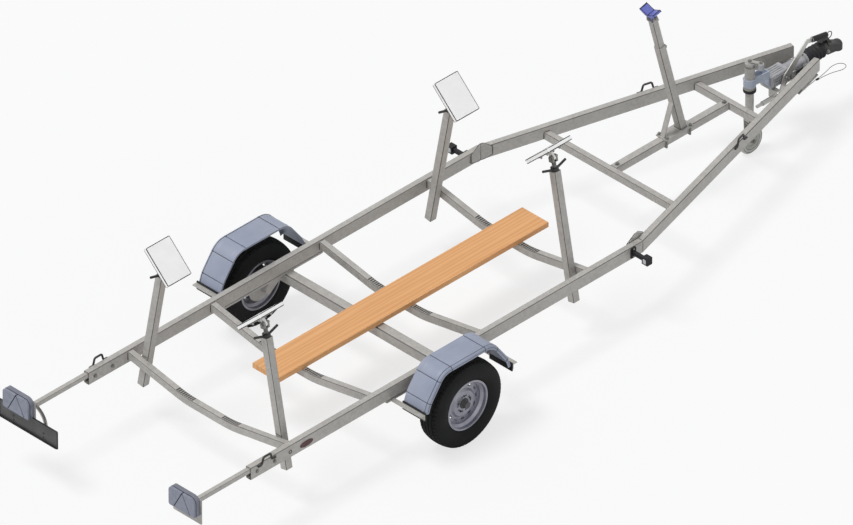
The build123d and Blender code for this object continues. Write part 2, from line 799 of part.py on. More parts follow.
crown_drop = pad_lug_radius + moving_gap + fork_crown
for end in post_ahead:
    for name, side in sides.items():
        pivot = pad_plane(end, side)
        with BuildPart() as spindle:
            with BuildSketch(post_plane(end, side).offset(post_length - spindle_in)):
                Circle(spindle_diameter / 2)
            extrude(amount=spindle_in + spindle_out - crown_drop)
            head = post_plane(end, side).offset(post_length + spindle_out - crown_drop)
            with BuildSketch(head):
                Rectangle(fork_width, 2 * pad_lug_radius)
            extrude(amount=crown_drop)
            with BuildSketch(Plane(origin=pivot.origin, x_dir=(0, 1, 0), z_dir=(1, 0, 0))):
                Circle(pad_lug_radius)
            extrude(amount=fork_width / 2, both=True)
            slot = Plane(origin=pivot.origin, x_dir=(0, 1, 0), z_dir=(1, 0, 0))
            with BuildSketch(slot):
                Circle(pad_lug_radius + moving_gap)
            extrude(amount=pad_lug_width / 2 + running_gap, both=True, mode=Mode.SUBTRACT)
            with BuildSketch(slot):
                Circle(pivot_pin_diameter / 2)
            extrude(amount=fork_width / 2, both=True)
        save(spindle, f"spindle_{end}_{name}")

        with BuildPart() as pad:
            with BuildSketch(pivot.offset(pad_rise)):
                RectangleRounded(pad_length, pad_width, pad_corner)
            extrude(amount=pad_thickness)
            with BuildSketch(Plane(origin=pivot.origin, x_dir=pivot.y_dir, z_dir=(1, 0, 0))):
                Circle(pad_lug_radius)
                with Locations((0, pad_rise / 2)):
                    Rectangle(2 * pad_lug_radius, pad_rise)
                Circle(pivot_pin_diameter / 2 + running_gap, mode=Mode.SUBTRACT)
            extrude(amount=pad_lug_width / 2, both=True)
        save(pad, f"pad_{end}_{name}")

# rear end: lamp bars with their plates, lamps, and the number board with its hoop
for name, side in sides.items():
    with BuildPart() as lamp_bar:
        with BuildSketch(facing_forward(lamp_plate_x + lamp_plate_thickness, side * rail_y, lamp_bar_z)):
            box_section(lamp_bar_size, lamp_bar_size, lamp_bar_wall, lamp_bar_corner)
        extrude(amount=rail_rear_x + lamp_bar_hidden - lamp_plate_x - lamp_plate_thickness)
        with BuildSketch(facing_forward(lamp_plate_x, side * lamp_y, lamp_plate_bottom_z + lamp_plate_height / 2)):
            RectangleRounded(lamp_plate_width, lamp_plate_height, 10)
        extrude(amount=lamp_plate_thickness)
        if name == "left":
            hoop_x = lamp_plate_x + lamp_plate_thickness + hoop_tube / 2 - weld_depth
            with BuildLine(facing_forward(hoop_x, 0, 0)) as bend:
                Line((hoop_y - hoop_radius, hoop_foot_z), (hoop_y - hoop_radius, hoop_z))
                ThreePointArc((hoop_y - hoop_radius, hoop_z), (hoop_y, hoop_z + hoop_radius),
                              (hoop_y + hoop_radius, hoop_z))
                Line((hoop_y + hoop_radius, hoop_z), (hoop_y + hoop_radius, hoop_foot_z))
            with BuildSketch(Plane(origin=bend.line @ 0, x_dir=(1, 0, 0), z_dir=(0, 0, 1))):
                Circle(hoop_tube / 2)
            sweep()
            for way in (-1, 1):
                stud_y = hoop_y + way * hoop_radius
                with BuildSketch(facing_forward(lamp_plate_x, stud_y, hoop_foot_z + hoop_stud_rise)):
                    Circle(hoop_stud_radius)
                extrude(amount=hoop_tube / 2)
    save(lamp_bar, f"lamp_bar_{name}")

    with BuildPart() as lamp:
        with BuildSketch(facing_forward(lamp_face_x, side * lamp_y, lamp_z)) as lamp_face:
            Rectangle(lamp_width, lamp_height)
            for corner, radius in zip(((-1, 1), (-1, -1), (1, -1), (1, 1)), lamp_corners):
                place = Vector(corner[0] * lamp_width / 2, corner[1] * lamp_height / 2, 0)
                fillet(lamp_face.vertices(Select.ALL).sort_by_distance(place)[0], radius)
        extrude(amount=lamp_plate_x - lamp_face_x)
        fillet(lamp.faces().sort_by(Axis.X)[0].edges(), lamp_edge)
    save(lamp, f"tail_lamp_{name}")

with BuildPart() as board:
    with BuildSketch(facing_forward(lamp_plate_x - board_thickness, board_inner_y + board_width / 2,
                                    board_bottom_z + board_height / 2)):
        RectangleRounded(board_width, board_height, 8)
    extrude(amount=board_thickness)
save(board, "number_board")

# marker lamps on their arms
with BuildPart() as marker_arms:
    for side in sides.values():
        marker_foot = Plane(origin=(axle_x + marker_ahead, side * rail_outer_y, marker_z), x_dir=(1, 0, 0),
                            z_dir=(0, side, 0))
        with BuildSketch(marker_foot):
            RectangleRounded(marker_foot_length, marker_foot_height, marker_arm_corner)
        extrude(amount=marker_foot_thickness)
        with BuildSketch(marker_foot):
            RectangleRounded(marker_arm_length, marker_arm_height, marker_arm_corner)
        extrude(amount=marker_reach - marker_lens_depth / 2)
save(marker_arms, "marker_arms")

with BuildPart() as marker_lamps:
    for side in sides.values():
        with Locations((axle_x + marker_ahead, side * (rail_outer_y + marker_reach), marker_z)):
            Box(marker_lens_length, marker_lens_depth, marker_lens)
    fillet(marker_lamps.edges().filter_by(Axis.Y), marker_lens_edge)
save(marker_lamps, "marker_lamps")

# lashing eyes: round bar humps on the rails' outer top edges
with BuildPart() as eyes:
    for side in sides.values():
        for from_kink, turn in ((-rear_eye_behind - kink_ahead, 0), (front_eye_from_kink, arm_angle)):
            run = Vector(1, 0, 0).rotate(Axis.Z, -side * turn)
            outward = Vector(0, side, 0).rotate(Axis.Z, -side * turn)
            corner = Vector(kink_x, side * rail_outer_y, rail_top_z)
            centre = corner + run * (from_kink / cos(radians(turn))) + outward * (eye_bar / 2)
            eye = Plane(origin=centre, x_dir=run, z_dir=run.cross(Vector(0, 0, 1)))
            with BuildLine(eye) as hump:
                half = eye_length / 2
                FilletPolyline(
                    (-half, -eye_foot_drop), (-half + eye_foot_length, -eye_foot_drop), (-eye_length / 5, eye_rise),
                    (eye_length / 5, eye_rise), (half - eye_foot_length, -eye_foot_drop), (half, -eye_foot_drop),
                    radius=eye_bar,
                )
            with BuildSketch(Plane(origin=hump.line @ 0, z_dir=hump.line % 0)):
                Circle(eye_bar / 2)
            sweep(path=hump.line)
save(eyes, "lashing_eyes")

# bow post: base plate, leaning tube and brace, sliding tube with its head, and the bow block
bow_foot_z = beam_top_z + bow_base_thickness
bow_base_x = arm_bars_x[1] - bow_base_rear_back
bow_lean = Plane(origin=(bow_base_x + bow_post_from_base, 0, bow_foot_z),
                 x_dir=Vector(1, 0, 0).rotate(Axis.Y, -bow_post_lean),
                 z_dir=Vector(0, 0, 1).rotate(Axis.Y, -bow_post_lean))

with BuildPart() as bow_base:
    with BuildSketch(facing_forward(bow_base_x, 0, beam_top_z + bow_base_thickness / 2)):
        Rectangle(bow_base_width, bow_base_thickness)
    extrude(amount=bow_base_length)
save(bow_base, "bow_base")

with BuildPart() as bow_post:
    with BuildSketch(bow_lean.offset(-bow_post_size)):
        box_section(bow_post_size, bow_post_size, bow_post_wall, bow_post_corner)
    extrude(amount=bow_post_length + bow_post_size)
    split(bisect_by=Plane.XY.offset(bow_foot_z), keep=Keep.TOP)
save(bow_post, "bow_post")

brace_foot = Vector(bow_base_x + brace_foot_from_base, 0, bow_foot_z)
brace_height = (brace_top_z - bow_foot_z) / cos(radians(bow_post_lean))
brace_head = bow_lean.from_local_coords((-bow_post_size / 2, 0, brace_height))
brace_run = (brace_head - brace_foot).normalized()
with BuildPart() as brace:
    with BuildSketch(Plane(origin=brace_foot - brace_run * brace_width, x_dir=(0, 1, 0), z_dir=brace_run)):
        Rectangle(brace_width, brace_thickness)
    extrude(amount=(brace_head - brace_foot).length + 2 * brace_width)
    split(bisect_by=Plane.XY.offset(bow_foot_z), keep=Keep.TOP)
    rear_corner = bow_lean.from_local_coords((-bow_post_size / 2, 0, 0))
    rear_face = Plane(origin=rear_corner, x_dir=(0, 1, 0), z_dir=bow_lean.x_dir)
    split(bisect_by=rear_face, keep=Keep.BOTTOM)
save(brace, "bow_brace")

bow_top = bow_lean.offset(bow_post_length + bow_slide_out)
block_pivot = bow_top.offset(bow_head_rise)
bow_side = Plane(origin=block_pivot.origin, x_dir=bow_lean.x_dir, z_dir=(0, -1, 0))
with BuildPart() as bow_slide:
    with BuildSketch(bow_lean.offset(bow_post_length - bow_slide_in)):
        box_section(bow_slide_size, bow_slide_size, bow_slide_wall, bow_slide_corner)
    extrude(amount=bow_slide_in + bow_slide_out)
    with BuildSketch(bow_side):
        Circle(bow_ear_radius)
        with Locations((-bow_slide_size / 2, -bow_head_rise), (bow_slide_size / 2, -bow_head_rise)):
            Circle(0.5)
        make_hull()
    extrude(amount=bow_head_width / 2 + bow_head_wall, both=True)
    with BuildSketch(bow_side):
        with Locations((0, bow_head_wall)):
            Rectangle(2 * bow_slide_size, 2 * bow_head_rise)
    extrude(amount=bow_head_width / 2, both=True, mode=Mode.SUBTRACT)
    with BuildSketch(bow_side):
        Circle(pivot_pin_diameter / 2)
    extrude(amount=bow_head_width / 2 + bow_head_wall + pin_stub, both=True)
save(bow_slide, "bow_slide")

# bow block: two arms in a shallow V on a round hub that tilts on the head's pin
with BuildPart() as bow_block:
    with BuildSketch(Plane(origin=block_pivot.origin, x_dir=(0, 1, 0), z_dir=bow_lean.x_dir)):
        with BuildLine():
            hub_half = bow_head_width / 2 - moving_gap
            tip_z = bow_groove_height + bow_arm_rise
            Polyline(
                (0, bow_groove_height), (bow_arm_half, tip_z),
                (bow_arm_half + bow_arm_tip, tip_z - bow_arm_thickness), (hub_half, bow_underside),
                (-hub_half, bow_underside), (-bow_arm_half - bow_arm_tip, tip_z - bow_arm_thickness),
                (-bow_arm_half, tip_z),
                close=True,
            )
        make_face()
    extrude(amount=bow_block_length / 2, both=True)
    with BuildSketch(bow_side):
        Circle(bow_hub_radius)
        with Locations((0, bow_underside / 2)):
            Rectangle(bow_hub_radius * 1.6, bow_underside)
    extrude(amount=hub_half, both=True)
    with BuildSketch(bow_side):
        Circle(pivot_pin_diameter / 2 + running_gap)
    extrude(amount=hub_half, both=True, mode=Mode.SUBTRACT)
save(bow_block, "bow_block")

# hitch plate below the arms: spacers under each arm, coupling bolt holes, a slot for the brake lever's tail
hitch_plate_z = rail_bottom_z - hitch_drop
hitch_bottom_z = hitch_plate_z - hitch_plate_thickness
hitch_rear_x = arm_tip_x - hitch_plate_rear_back
hitch_front_x = arm_tip_x - hitch_plate_front_back
hitch_rear_half = arm_tip_half_width + hitch_plate_rear_back * tan(radians(arm_angle))
hitch_front_half = arm_tip_half_width + hitch_plate_front_back * tan(radians(arm_angle))
lever_x = arm_tip_x - lever_back
with BuildPart() as hitch_plate:
    with BuildSketch(Plane.XY.offset(hitch_plate_z)):
        with BuildLine():
            Polyline(
                (hitch_rear_x, -hitch_rear_half), (hitch_front_x, -hitch_front_half),
                (hitch_front_x, hitch_front_half), (hitch_rear_x, hitch_rear_half),
                close=True,
            )
        make_face()
        with Locations((lever_x + lever_slot / 2 - lever_boss_radius, lever_y)):
            Rectangle(lever_slot, lever_thickness + 2 * moving_gap, mode=Mode.SUBTRACT)
        with Locations(*((arm_tip_x - hitch_hole_back, side * hitch_hole_y) for side in sides.values())):
            Circle(hitch_hole_diameter / 2, mode=Mode.SUBTRACT)
    extrude(amount=-hitch_plate_thickness)
    for side in sides.values():
        run = along_arm(side)
        inward = run.rotate(Axis.Z, -side * 90)
        tip = Vector(arm_tip_x, side * arm_tip_half_width, hitch_plate_z)
        middle = tip + inward * (rail_width / 2) - run * (hitch_spacer_length / 2 + rail_width)
        with BuildSketch(Plane(origin=middle, x_dir=run, z_dir=(0, 0, 1))):
            Rectangle(hitch_spacer_length, rail_width - 2 * rail_corner)
        extrude(amount=hitch_drop)
save(hitch_plate, "hitch_plate")

# overrun housing: ribbed casting, bearing tube with its collar, saddles on the plate, and the brake lever's pin
housing_rear_x = arm_tip_x - housing_rear_back
housing_front_x = arm_tip_x - housing_front_back
housing_mid_z = (hitch_plate_z + housing_top_z) / 2
bearing_front_x = arm_tip_x - bellows_rear_back
draw_rear_x = arm_tip_x - draw_rear_back
bore_rear_x = draw_rear_x - overrun_stroke - moving_gap
rib_offsets = [(rib - (housing_ribs - 1) / 2) * housing_rib_pitch for rib in range(housing_ribs)]
with BuildPart() as housing:
    with BuildSketch(facing_forward(housing_rear_x, 0, housing_mid_z)):
        RectangleRounded(2 * housing_half_width, housing_top_z - hitch_plate_z, housing_corner)
    extrude(amount=housing_front_x - housing_rear_x)
    with BuildSketch(facing_forward(housing_rear_x + housing_rib_inset, 0, housing_mid_z)):
        with Locations(*((way * housing_half_width, offset) for way in (-1, 1) for offset in rib_offsets)):
            Rectangle(2 * housing_rib_rise, housing_rib_width)
        with Locations(*((offset, housing_top_z - housing_mid_z) for offset in rib_offsets)):
            Rectangle(housing_rib_width, 2 * housing_rib_rise)
    extrude(amount=housing_front_x - housing_rear_x - 2 * housing_rib_inset)
    with BuildSketch(facing_forward(housing_front_x, 0, draw_z)):
        Circle(bearing_diameter / 2)
    extrude(amount=bearing_front_x - housing_front_x)
    with BuildSketch(facing_forward(bearing_front_x, 0, draw_z)):
        Circle(bearing_collar / 2)
    extrude(amount=-bearing_collar_length)
    for saddle_back in saddles_back:
        with BuildSketch(facing_forward(arm_tip_x - saddle_back, 0, (hitch_plate_z + draw_z) / 2)):
            Rectangle(2 * housing_half_width, draw_z - hitch_plate_z)
        extrude(amount=saddle_length / 2, both=True)
    with BuildSketch(facing_forward(bore_rear_x, 0, draw_z)):
        Circle(draw_diameter / 2 + running_gap)
    extrude(amount=bearing_front_x - bore_rear_x, mode=Mode.SUBTRACT)
    pin_end = facing_right(lever_x, lever_y - lever_thickness / 2 - moving_gap, lever_z)
    with BuildSketch(pin_end):
        Circle(lever_pin_diameter / 2)
    extrude(amount=pin_end.origin.Y + housing_half_width - weld_depth)
    with BuildSketch(pin_end):
        Circle(lever_pin_head / 2)
    extrude(amount=moving_gap)
save(housing, "overrun_housing")

with BuildPart() as draw_tube:
    with BuildSketch(facing_forward(draw_rear_x, 0, draw_z)):
        Circle(draw_diameter / 2)
        Circle(draw_diameter / 2 - draw_wall, mode=Mode.SUBTRACT)
    extrude(amount=bearing_front_x + bellows_length - draw_rear_x)
save(draw_tube, "draw_tube")

# bellows: folds of one wall thickness between the bearing tube's face and the coupling head
with BuildPart() as bellows:
    pitch = bellows_length / bellows_folds
    crest = bellows_diameter / 2
    root = crest - bellows_fold_depth
    outer = [(0, root)]
    for fold in range(bellows_folds):
        outer += [((fold + 0.5) * pitch, crest), ((fold + 1) * pitch, root)]
    inner = [(along, radius - bellows_wall) for along, radius in reversed(outer)]
    with BuildSketch(facing_right(bearing_front_x, 0, draw_z)):
        with BuildLine():
            Polyline(*outer, *inner, close=True)
        make_face()
    revolve(axis=Axis((bearing_front_x, 0, draw_z), (1, 0, 0)))
save(bellows, "bellows")

# coupling head: round neck, a body lofted down to the cup over the ball, a spherical socket open below,
# and the bent handle on top
head_rear_x = bearing_front_x + bellows_length
body_rear_x = head_rear_x + head_neck_length
ball_x = nose_x - ball_behind_nose
neck_bottom_z = draw_z - head_neck_diameter / 2
with BuildPart() as coupling:
    with BuildSketch(facing_forward(head_rear_x, 0, draw_z)):
        Circle(head_neck_diameter / 2)
    extrude(amount=head_neck_length)
    with BuildSketch(facing_forward(body_rear_x, 0, (neck_bottom_z + head_top_z) / 2)):
        RectangleRounded(head_width, head_top_z - neck_bottom_z, head_corner)
    with BuildSketch(facing_forward(ball_x - ball_gap, 0, (head_bottom_z + cup_shoulder_z) / 2)):
        RectangleRounded(2 * ball_behind_nose, cup_shoulder_z - head_bottom_z, head_corner)
    loft()
    with BuildSketch(facing_right(ball_x, 0, 0)):
        with BuildLine():
            Polyline((0, head_bottom_z), (ball_behind_nose, head_bottom_z), (ball_behind_nose, ball_z))
            ThreePointArc((ball_behind_nose, ball_z), (ball_behind_nose * sqrt(0.5), cup_shoulder_z),
                          (0, cup_top_z))
            Line((0, cup_top_z), (0, head_bottom_z))
        make_face()
    revolve(axis=Axis((ball_x, 0, 0), (0, 0, 1)))
    with Locations((ball_x, 0, ball_z)):
        Sphere(ball_diameter / 2 + ball_gap, mode=Mode.SUBTRACT)
    with BuildSketch(Plane.XY.offset(ball_z)):
        with Locations((ball_x, 0)):
            Circle(ball_diameter / 2 + ball_gap)
    extrude(amount=head_bottom_z - ball_z - weld_depth, mode=Mode.SUBTRACT)
    handle_side = facing_right(head_rear_x, 0, head_top_z)
    for (start, start_radius), (end, end_radius) in zip(handle_bends[:-1], handle_bends[1:]):
        with BuildSketch(handle_side):
            with Locations(start):
                Circle(start_radius)
            with Locations(end):
                Circle(end_radius)
            make_hull()
        extrude(amount=head_handle_width / 2, both=True)
save(coupling, "coupling_head")

# jockey wheel: clamp on the housing, outer tube with crank, inner leg, folding fork and wheel
clamp_top_z = clamp_z + clamp_height / 2
with BuildPart() as clamp:
    with BuildSketch(Plane.XY.offset(clamp_z - clamp_height / 2)):
        for inset, mode in ((0, Mode.ADD), (clamp_wall, Mode.SUBTRACT)):
            near = clamp_root_half - inset
            far = clamp_foot_half - inset
            with BuildLine():
                Polyline((jockey_x, -near), (housing_rear_x - inset, -far), (housing_rear_x - inset, far),
                         (jockey_x, near), close=True)
            make_face(mode=mode)
        with Locations((jockey_x, 0)):
            Circle(jockey_tube_diameter / 2 + clamp_wall)
            Circle(jockey_tube_diameter / 2, mode=Mode.SUBTRACT)
    extrude(amount=clamp_height)
    with BuildSketch(facing_forward(housing_rear_x - clamp_wall, 0, (clamp_foot_z + clamp_top_z) / 2)):
        Rectangle(2 * clamp_foot_half, clamp_top_z - clamp_foot_z)
    extrude(amount=clamp_wall)
save(clamp, "jockey_clamp")

with BuildPart() as jockey_tube:
    bands = (
        (jockey_tube_bottom_z, jockey_collar_height, jockey_collar_diameter, jockey_leg_diameter + 2 * running_gap),
        (jockey_tube_bottom_z, jockey_tube_top_z - jockey_tube_bottom_z, jockey_tube_diameter,
         jockey_leg_diameter + 2 * running_gap),
        (jockey_tube_top_z, crank_cap_height, jockey_tube_diameter, 0),
        (jockey_tube_top_z + crank_cap_height, crank_neck_height, crank_neck_diameter, 0),
    )
    for bottom, height, outside, inside in bands:
        with BuildSketch(Plane.XY.offset(bottom)):
            with Locations((jockey_x, 0)):
                Circle(outside / 2)
                if inside:
                    Circle(inside / 2, mode=Mode.SUBTRACT)
        extrude(amount=height)
    crank_plane = Plane(origin=(jockey_x, 0, jockey_tube_top_z + crank_cap_height + crank_neck_height),
                        x_dir=Vector(1, 0, 0).rotate(Axis.Z, crank_turn), z_dir=(0, 0, 1))
    with BuildSketch(crank_plane):
        with Locations((crank_length / 2, 0)):
            SlotCenterToCenter(crank_length, crank_width)
    extrude(amount=crank_thickness)
    with BuildSketch(crank_plane):
        with Locations((crank_length, 0)):
            Circle(crank_knob_diameter / 2)
    extrude(amount=-crank_knob_drop)
save(jockey_tube, "jockey_tube")

jockey_side = facing_right(jockey_x, 0, jockey_pivot_z)
fork_inner = jockey_ear_width / 2 + moving_gap
fork_outer = fork_inner + jockey_fork_plate
with BuildPart() as leg:
    with BuildSketch(Plane.XY.offset(jockey_pivot_z + jockey_ear_rise)):
        with Locations((jockey_x, 0)):
            Circle(jockey_leg_diameter / 2)
            Circle(jockey_leg_diameter / 2 - jockey_leg_wall, mode=Mode.SUBTRACT)
    extrude(amount=jockey_leg_top_z - jockey_pivot_z - jockey_ear_rise)
    with BuildSketch(jockey_side):
        Circle(jockey_ear_radius)
        with Locations((0, jockey_ear_rise / 2)):
            Rectangle(2 * jockey_ear_radius, jockey_ear_rise)
    extrude(amount=jockey_ear_width / 2, both=True)
    with BuildSketch(jockey_side):
        Circle(jockey_pin_diameter / 2)
    extrude(amount=fork_outer + jockey_pin_stub, both=True)
save(leg, "jockey_leg")

# fork: two plates from the leg's pin to the wheel's axle, which trails ahead of it so that load closes the fork
with BuildPart() as fork:
    for way in (-1, 1):
        with BuildSketch(facing_right(jockey_x, way * (fork_inner + jockey_fork_plate / 2), jockey_pivot_z)):
            for place in ((0, 0), (jockey_trail, -jockey_fork_reach)):
                with Locations(place):
                    Circle(jockey_fork_width / 2)
            make_hull()
            Circle(jockey_pin_diameter / 2 + running_gap, mode=Mode.SUBTRACT)
        extrude(amount=jockey_fork_plate / 2, both=True)
    spacer_x = jockey_x + jockey_trail * jockey_fork_spacer_drop / jockey_fork_reach
    for pin_x, drop, across in (
        (spacer_x, jockey_fork_spacer_drop, fork_inner + jockey_fork_plate / 2),
        (jockey_axle_x, jockey_fork_reach, fork_outer + jockey_pin_stub),
    ):
        with BuildSketch(facing_right(pin_x, 0, jockey_pivot_z - drop)):
            Circle(jockey_pin_diameter / 2)
        extrude(amount=across, both=True)
save(fork, "jockey_fork")

# jockey wheel: tread, sidewalls, dished web and a hub bored for the fork's pin
with BuildPart() as jockey_wheel:
    half = jockey_wheel_width / 2
    full = jockey_wheel_diameter / 2
    rim = jockey_rim_diameter / 2
    bore = jockey_pin_diameter / 2 + running_gap
    profile = (
        (half, bore), (half, 20), (6, 24), (5, rim - 12), (half - 6, rim - 4),
        (half - 6, rim), (half, rim + 6), (half, full - 10), (half - 9, full),
    )
    with BuildSketch(Plane(origin=(jockey_axle_x, 0, jockey_axle_z), x_dir=(0, 1, 0), z_dir=(1, 0, 0))):
        with BuildLine():
            Polyline(*profile, *((-across, radius) for across, radius in reversed(profile)), close=True)
        make_face()
    revolve(axis=Axis((jockey_axle_x, 0, jockey_axle_z), (0, 1, 0)))
save(jockey_wheel, "jockey_wheel")

# handbrake lever: boss, tail below, bent bar and grip
with BuildPart() as lever:
    lever_side = facing_right(lever_x, lever_y, lever_z)
    for start, end, start_radius, end_radius in (
        ((0, 0), lever_elbow, lever_boss_radius, lever_bar_height / 2),
        ((0, 0), lever_tail, lever_boss_radius, lever_tail_radius),
        (lever_elbow, lever_grip_end, lever_bar_height / 2, lever_end_radius),
    ):
        with BuildSketch(lever_side):
            with Locations(start):
                Circle(start_radius)
            with Locations(end):
                Circle(end_radius)
            make_hull()
        extrude(amount=lever_thickness / 2, both=True)
    with BuildSketch(lever_side):
        Circle(lever_pin_diameter / 2 + running_gap)
    extrude(amount=lever_thickness, both=True, mode=Mode.SUBTRACT)
    grip_end = lever_side.from_local_coords((*lever_grip_end, 0))
    grip_run = (grip_end - lever_side.from_local_coords((*lever_elbow, 0))).normalized()
    with BuildSketch(Plane(origin=grip_end + grip_run * lever_end_radius, z_dir=grip_run)):
        Circle(lever_grip_diameter / 2)
    extrude(amount=-lever_grip_length)
save(lever, "handbrake_lever")

# brake strut: angle bracket under the housing, spring barrel and neck behind it, rod towards the lever's tail
strut_front_x = arm_tip_x - strut_front_back
strut_foot_z = strut_z - strut_diameter / 2
tail_rear_x = lever_x + lever_tail[0] - lever_tail_radius
with BuildPart() as strut:
    with BuildSketch(facing_right(strut_front_x, lever_y + strut_bracket_width / 6, 0)):
        with BuildLine():
            Polyline(
                (0, strut_foot_z), (0, hitch_plate_z), (strut_bracket_length, hitch_plate_z),
                (strut_bracket_length, hitch_plate_z - strut_bracket_thickness),
                (strut_bracket_thickness, hitch_plate_z - strut_bracket_thickness),
                (strut_bracket_thickness, strut_foot_z), close=True,
            )
        make_face()
    extrude(amount=strut_bracket_width / 2, both=True)
    for front_x, diameter, length in (
        (strut_front_x, strut_diameter, strut_length),
        (strut_front_x - strut_length, strut_neck_diameter, strut_neck_length),
        (tail_rear_x - moving_gap, strut_rod_diameter, tail_rear_x - moving_gap - strut_front_x),
    ):
        with BuildSketch(facing_forward(front_x, lever_y, strut_z)):
            Circle(diameter / 2)
        extrude(amount=-length)
save(strut, "brake_strut")

# breakaway cable, forward of and from the arms' ends: down out of the plate, forward, round its loop and back
cable_places = [
    (-237, -150, hitch_bottom_z), (-237, -150, 432), (-215, -152, 412), (-172, -156, 411),
    (-137, -146, 411), (-97, -137, 411), (-60, -132, 410.5), (-25, -125.5, 410), (34, -117, 408),
    (92, -105, 406), (134, -92, 404), (174, -81, 403), (211, -81, 402), (244, -88, 401),
    (265, -110, 400), (265, -138, 400), (242, -157, 401), (201, -161, 402), (156, -147, 404),
    (115, -138, 406), (76, -134, 407), (34, -131.5, 408.5), (-3, -131, 409.5),
]
cable_points = [Vector(arm_tip_x + x, y, z) for x, y, z in cable_places]
cable_radii = []
for before, corner, after in zip(cable_points[:-2], cable_points[1:-1], cable_points[2:]):
    turn = radians((corner - before).get_angle(after - corner))
    shorter = min((corner - before).length, (after - corner).length)
    cable_radii.append(0.45 * shorter / tan(turn / 2))
print("cable radii", [round(radius) for radius in cable_radii])
with BuildPart() as cable:
    with BuildLine() as cable_line:
        FilletPolyline(*cable_points, radius=cable_radii)
    with BuildSketch(Plane(origin=cable_points[0], z_dir=(0, 0, -1))):
        Circle(cable_diameter / 2)
    sweep(path=cable_line.line)
save(cable, "breakaway_cable")
cable_length = sum(edge.length for edge in cable_line.edges())
cable_share = cable.part.volume / (pi * cable_diameter**2 / 4 * cable_length)
print("cable length", round(cable_length), "volume share", round(cable_share, 4))

ferrule_middle = cable_points[-1] + Vector(-ferrule_length / 6, ferrule_pitch / 2, 0)
with BuildPart() as ferrule:
    with BuildSketch(facing_forward(*ferrule_middle)):
        SlotOverall(ferrule_width, ferrule_height)
    extrude(amount=ferrule_length / 2, both=True)
    add(cable.part, mode=Mode.SUBTRACT)
save(ferrule, "cable_ferrule")
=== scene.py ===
# Boat trailer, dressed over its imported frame. Sizes are millimetres, x forward, y left, z up, and an "ahead" is
# measured from the wheel axle.
from math import cos, pi, radians, sin, sqrt, tan
from types import SimpleNamespace as Sizes

import bmesh
import bpy
import numpy as np
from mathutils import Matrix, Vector


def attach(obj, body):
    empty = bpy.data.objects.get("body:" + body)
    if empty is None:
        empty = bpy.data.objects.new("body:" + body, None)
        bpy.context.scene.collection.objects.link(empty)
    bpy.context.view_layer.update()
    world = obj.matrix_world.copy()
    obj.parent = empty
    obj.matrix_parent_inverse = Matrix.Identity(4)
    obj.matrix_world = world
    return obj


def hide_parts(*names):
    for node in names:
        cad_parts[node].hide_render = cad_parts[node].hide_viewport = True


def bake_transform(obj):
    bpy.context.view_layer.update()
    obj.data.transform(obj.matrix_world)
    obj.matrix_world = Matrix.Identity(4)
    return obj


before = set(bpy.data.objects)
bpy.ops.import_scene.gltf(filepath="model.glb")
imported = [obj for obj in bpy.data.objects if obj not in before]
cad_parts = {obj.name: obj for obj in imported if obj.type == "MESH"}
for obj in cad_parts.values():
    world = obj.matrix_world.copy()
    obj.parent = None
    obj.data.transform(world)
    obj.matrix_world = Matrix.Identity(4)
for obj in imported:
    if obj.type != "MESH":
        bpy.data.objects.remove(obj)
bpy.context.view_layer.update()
print("frame loaded")

axleX = -1125.0
sides = {"left": 1, "right": -1}
bothWays = (-1, 1)
xWay, yWay, zWay = np.eye(3)


def ahead(x):
    # the axle's place plus the distance ahead of it
    return axleX + x


def link(thing):
    # puts an object into the scene and gives it back
    bpy.context.scene.collection.objects.link(thing)
    return thing


# camera and studio

cameraSettings = {"lens": 1000.0, "sensor": 36.0, "pictureWidth": 5.8084, "aim": (0.1812, 0.6385, 0.0)}
studioSettings = {"floorRadius": 120.0, "floorShade": 0.86, "floorGlow": 0.72, "ambient": 0.42,
                  "ambientTint": (0.96, 0.98, 1.0, 1), "keyStrength": 1.9, "keyFrom": (-1.15, 0.45, 2.6),
                  "keySoftness": 20, "fillStrength": 0.22, "fillFrom": (-0.6, -2.2, 0.9), "fillSoftness": 40}


class Tree:
    # a node tree under construction: add() makes a node, wire() feeds a socket from a socket or a plain value

    def __init__(self, tree, empty=False):
        self.nodes, self.links = tree.nodes, tree.links
        if empty:
            self.nodes.clear()

    def wire(self, source, node, label):
        if isinstance(source, bpy.types.NodeSocket):
            self.links.new(source, node.inputs[label])
        else:
            node.inputs[label].default_value = source

    def add(self, kind, inputs=(), **settings):
        node = self.nodes.new("ShaderNode" + kind)
        for label, value in settings.items():
            setattr(node, label, value)
        for label, source in dict(inputs).items():
            self.wire(source, node, label)
        return node

    def blend(self, factor, first, second):
        # a colour mix, whose sockets 6 and 7 take the two colours
        return self.add("Mix", {0: factor, 6: first, 7: second}, data_type="RGBA").outputs[2]

    def ranged(self, value, low, high):
        # a value from 0 to 1 stretched to run from low to high
        return self.add("MapRange", {"Value": value, "To Min": low, "To Max": high}).outputs["Result"]

    def bumped(self, height, strength, distance=0.001):
        # a surface direction tilted by the slope of the height
        bump = self.add("Bump", {"Strength": strength, "Distance": distance, "Height": height})
        return bump.outputs["Normal"]


def placeCamera(settings):
    # the camera backs away from its aim by the picture's width times lens over sensor
    data = bpy.data.cameras.new("camera")
    data.lens, data.sensor_width = settings["lens"], settings["sensor"]
    data.clip_start, data.clip_end = 5.0, 1000.0
    holder = link(bpy.data.objects.new("camera", data))
    look = Vector((1, 1, -1)).normalized()
    away = settings["pictureWidth"] * settings["lens"] / settings["sensor"]
    holder.location = Vector(settings["aim"]) - look * away
    holder.rotation_euler = look.to_track_quat("-Z", "Y").to_euler()
    bpy.context.scene.camera = holder


def sunFrom(name, direction, strength, softness):
    # a sun whose light comes from the direction, its softness the angle it fills
    data = bpy.data.lights.new(name, "SUN")
    data.energy, data.angle = strength, radians(softness)
    sun = link(bpy.data.objects.new(name, data))
    sun.rotation_euler = (-Vector(direction)).to_track_quat("-Z", "Y").to_euler()


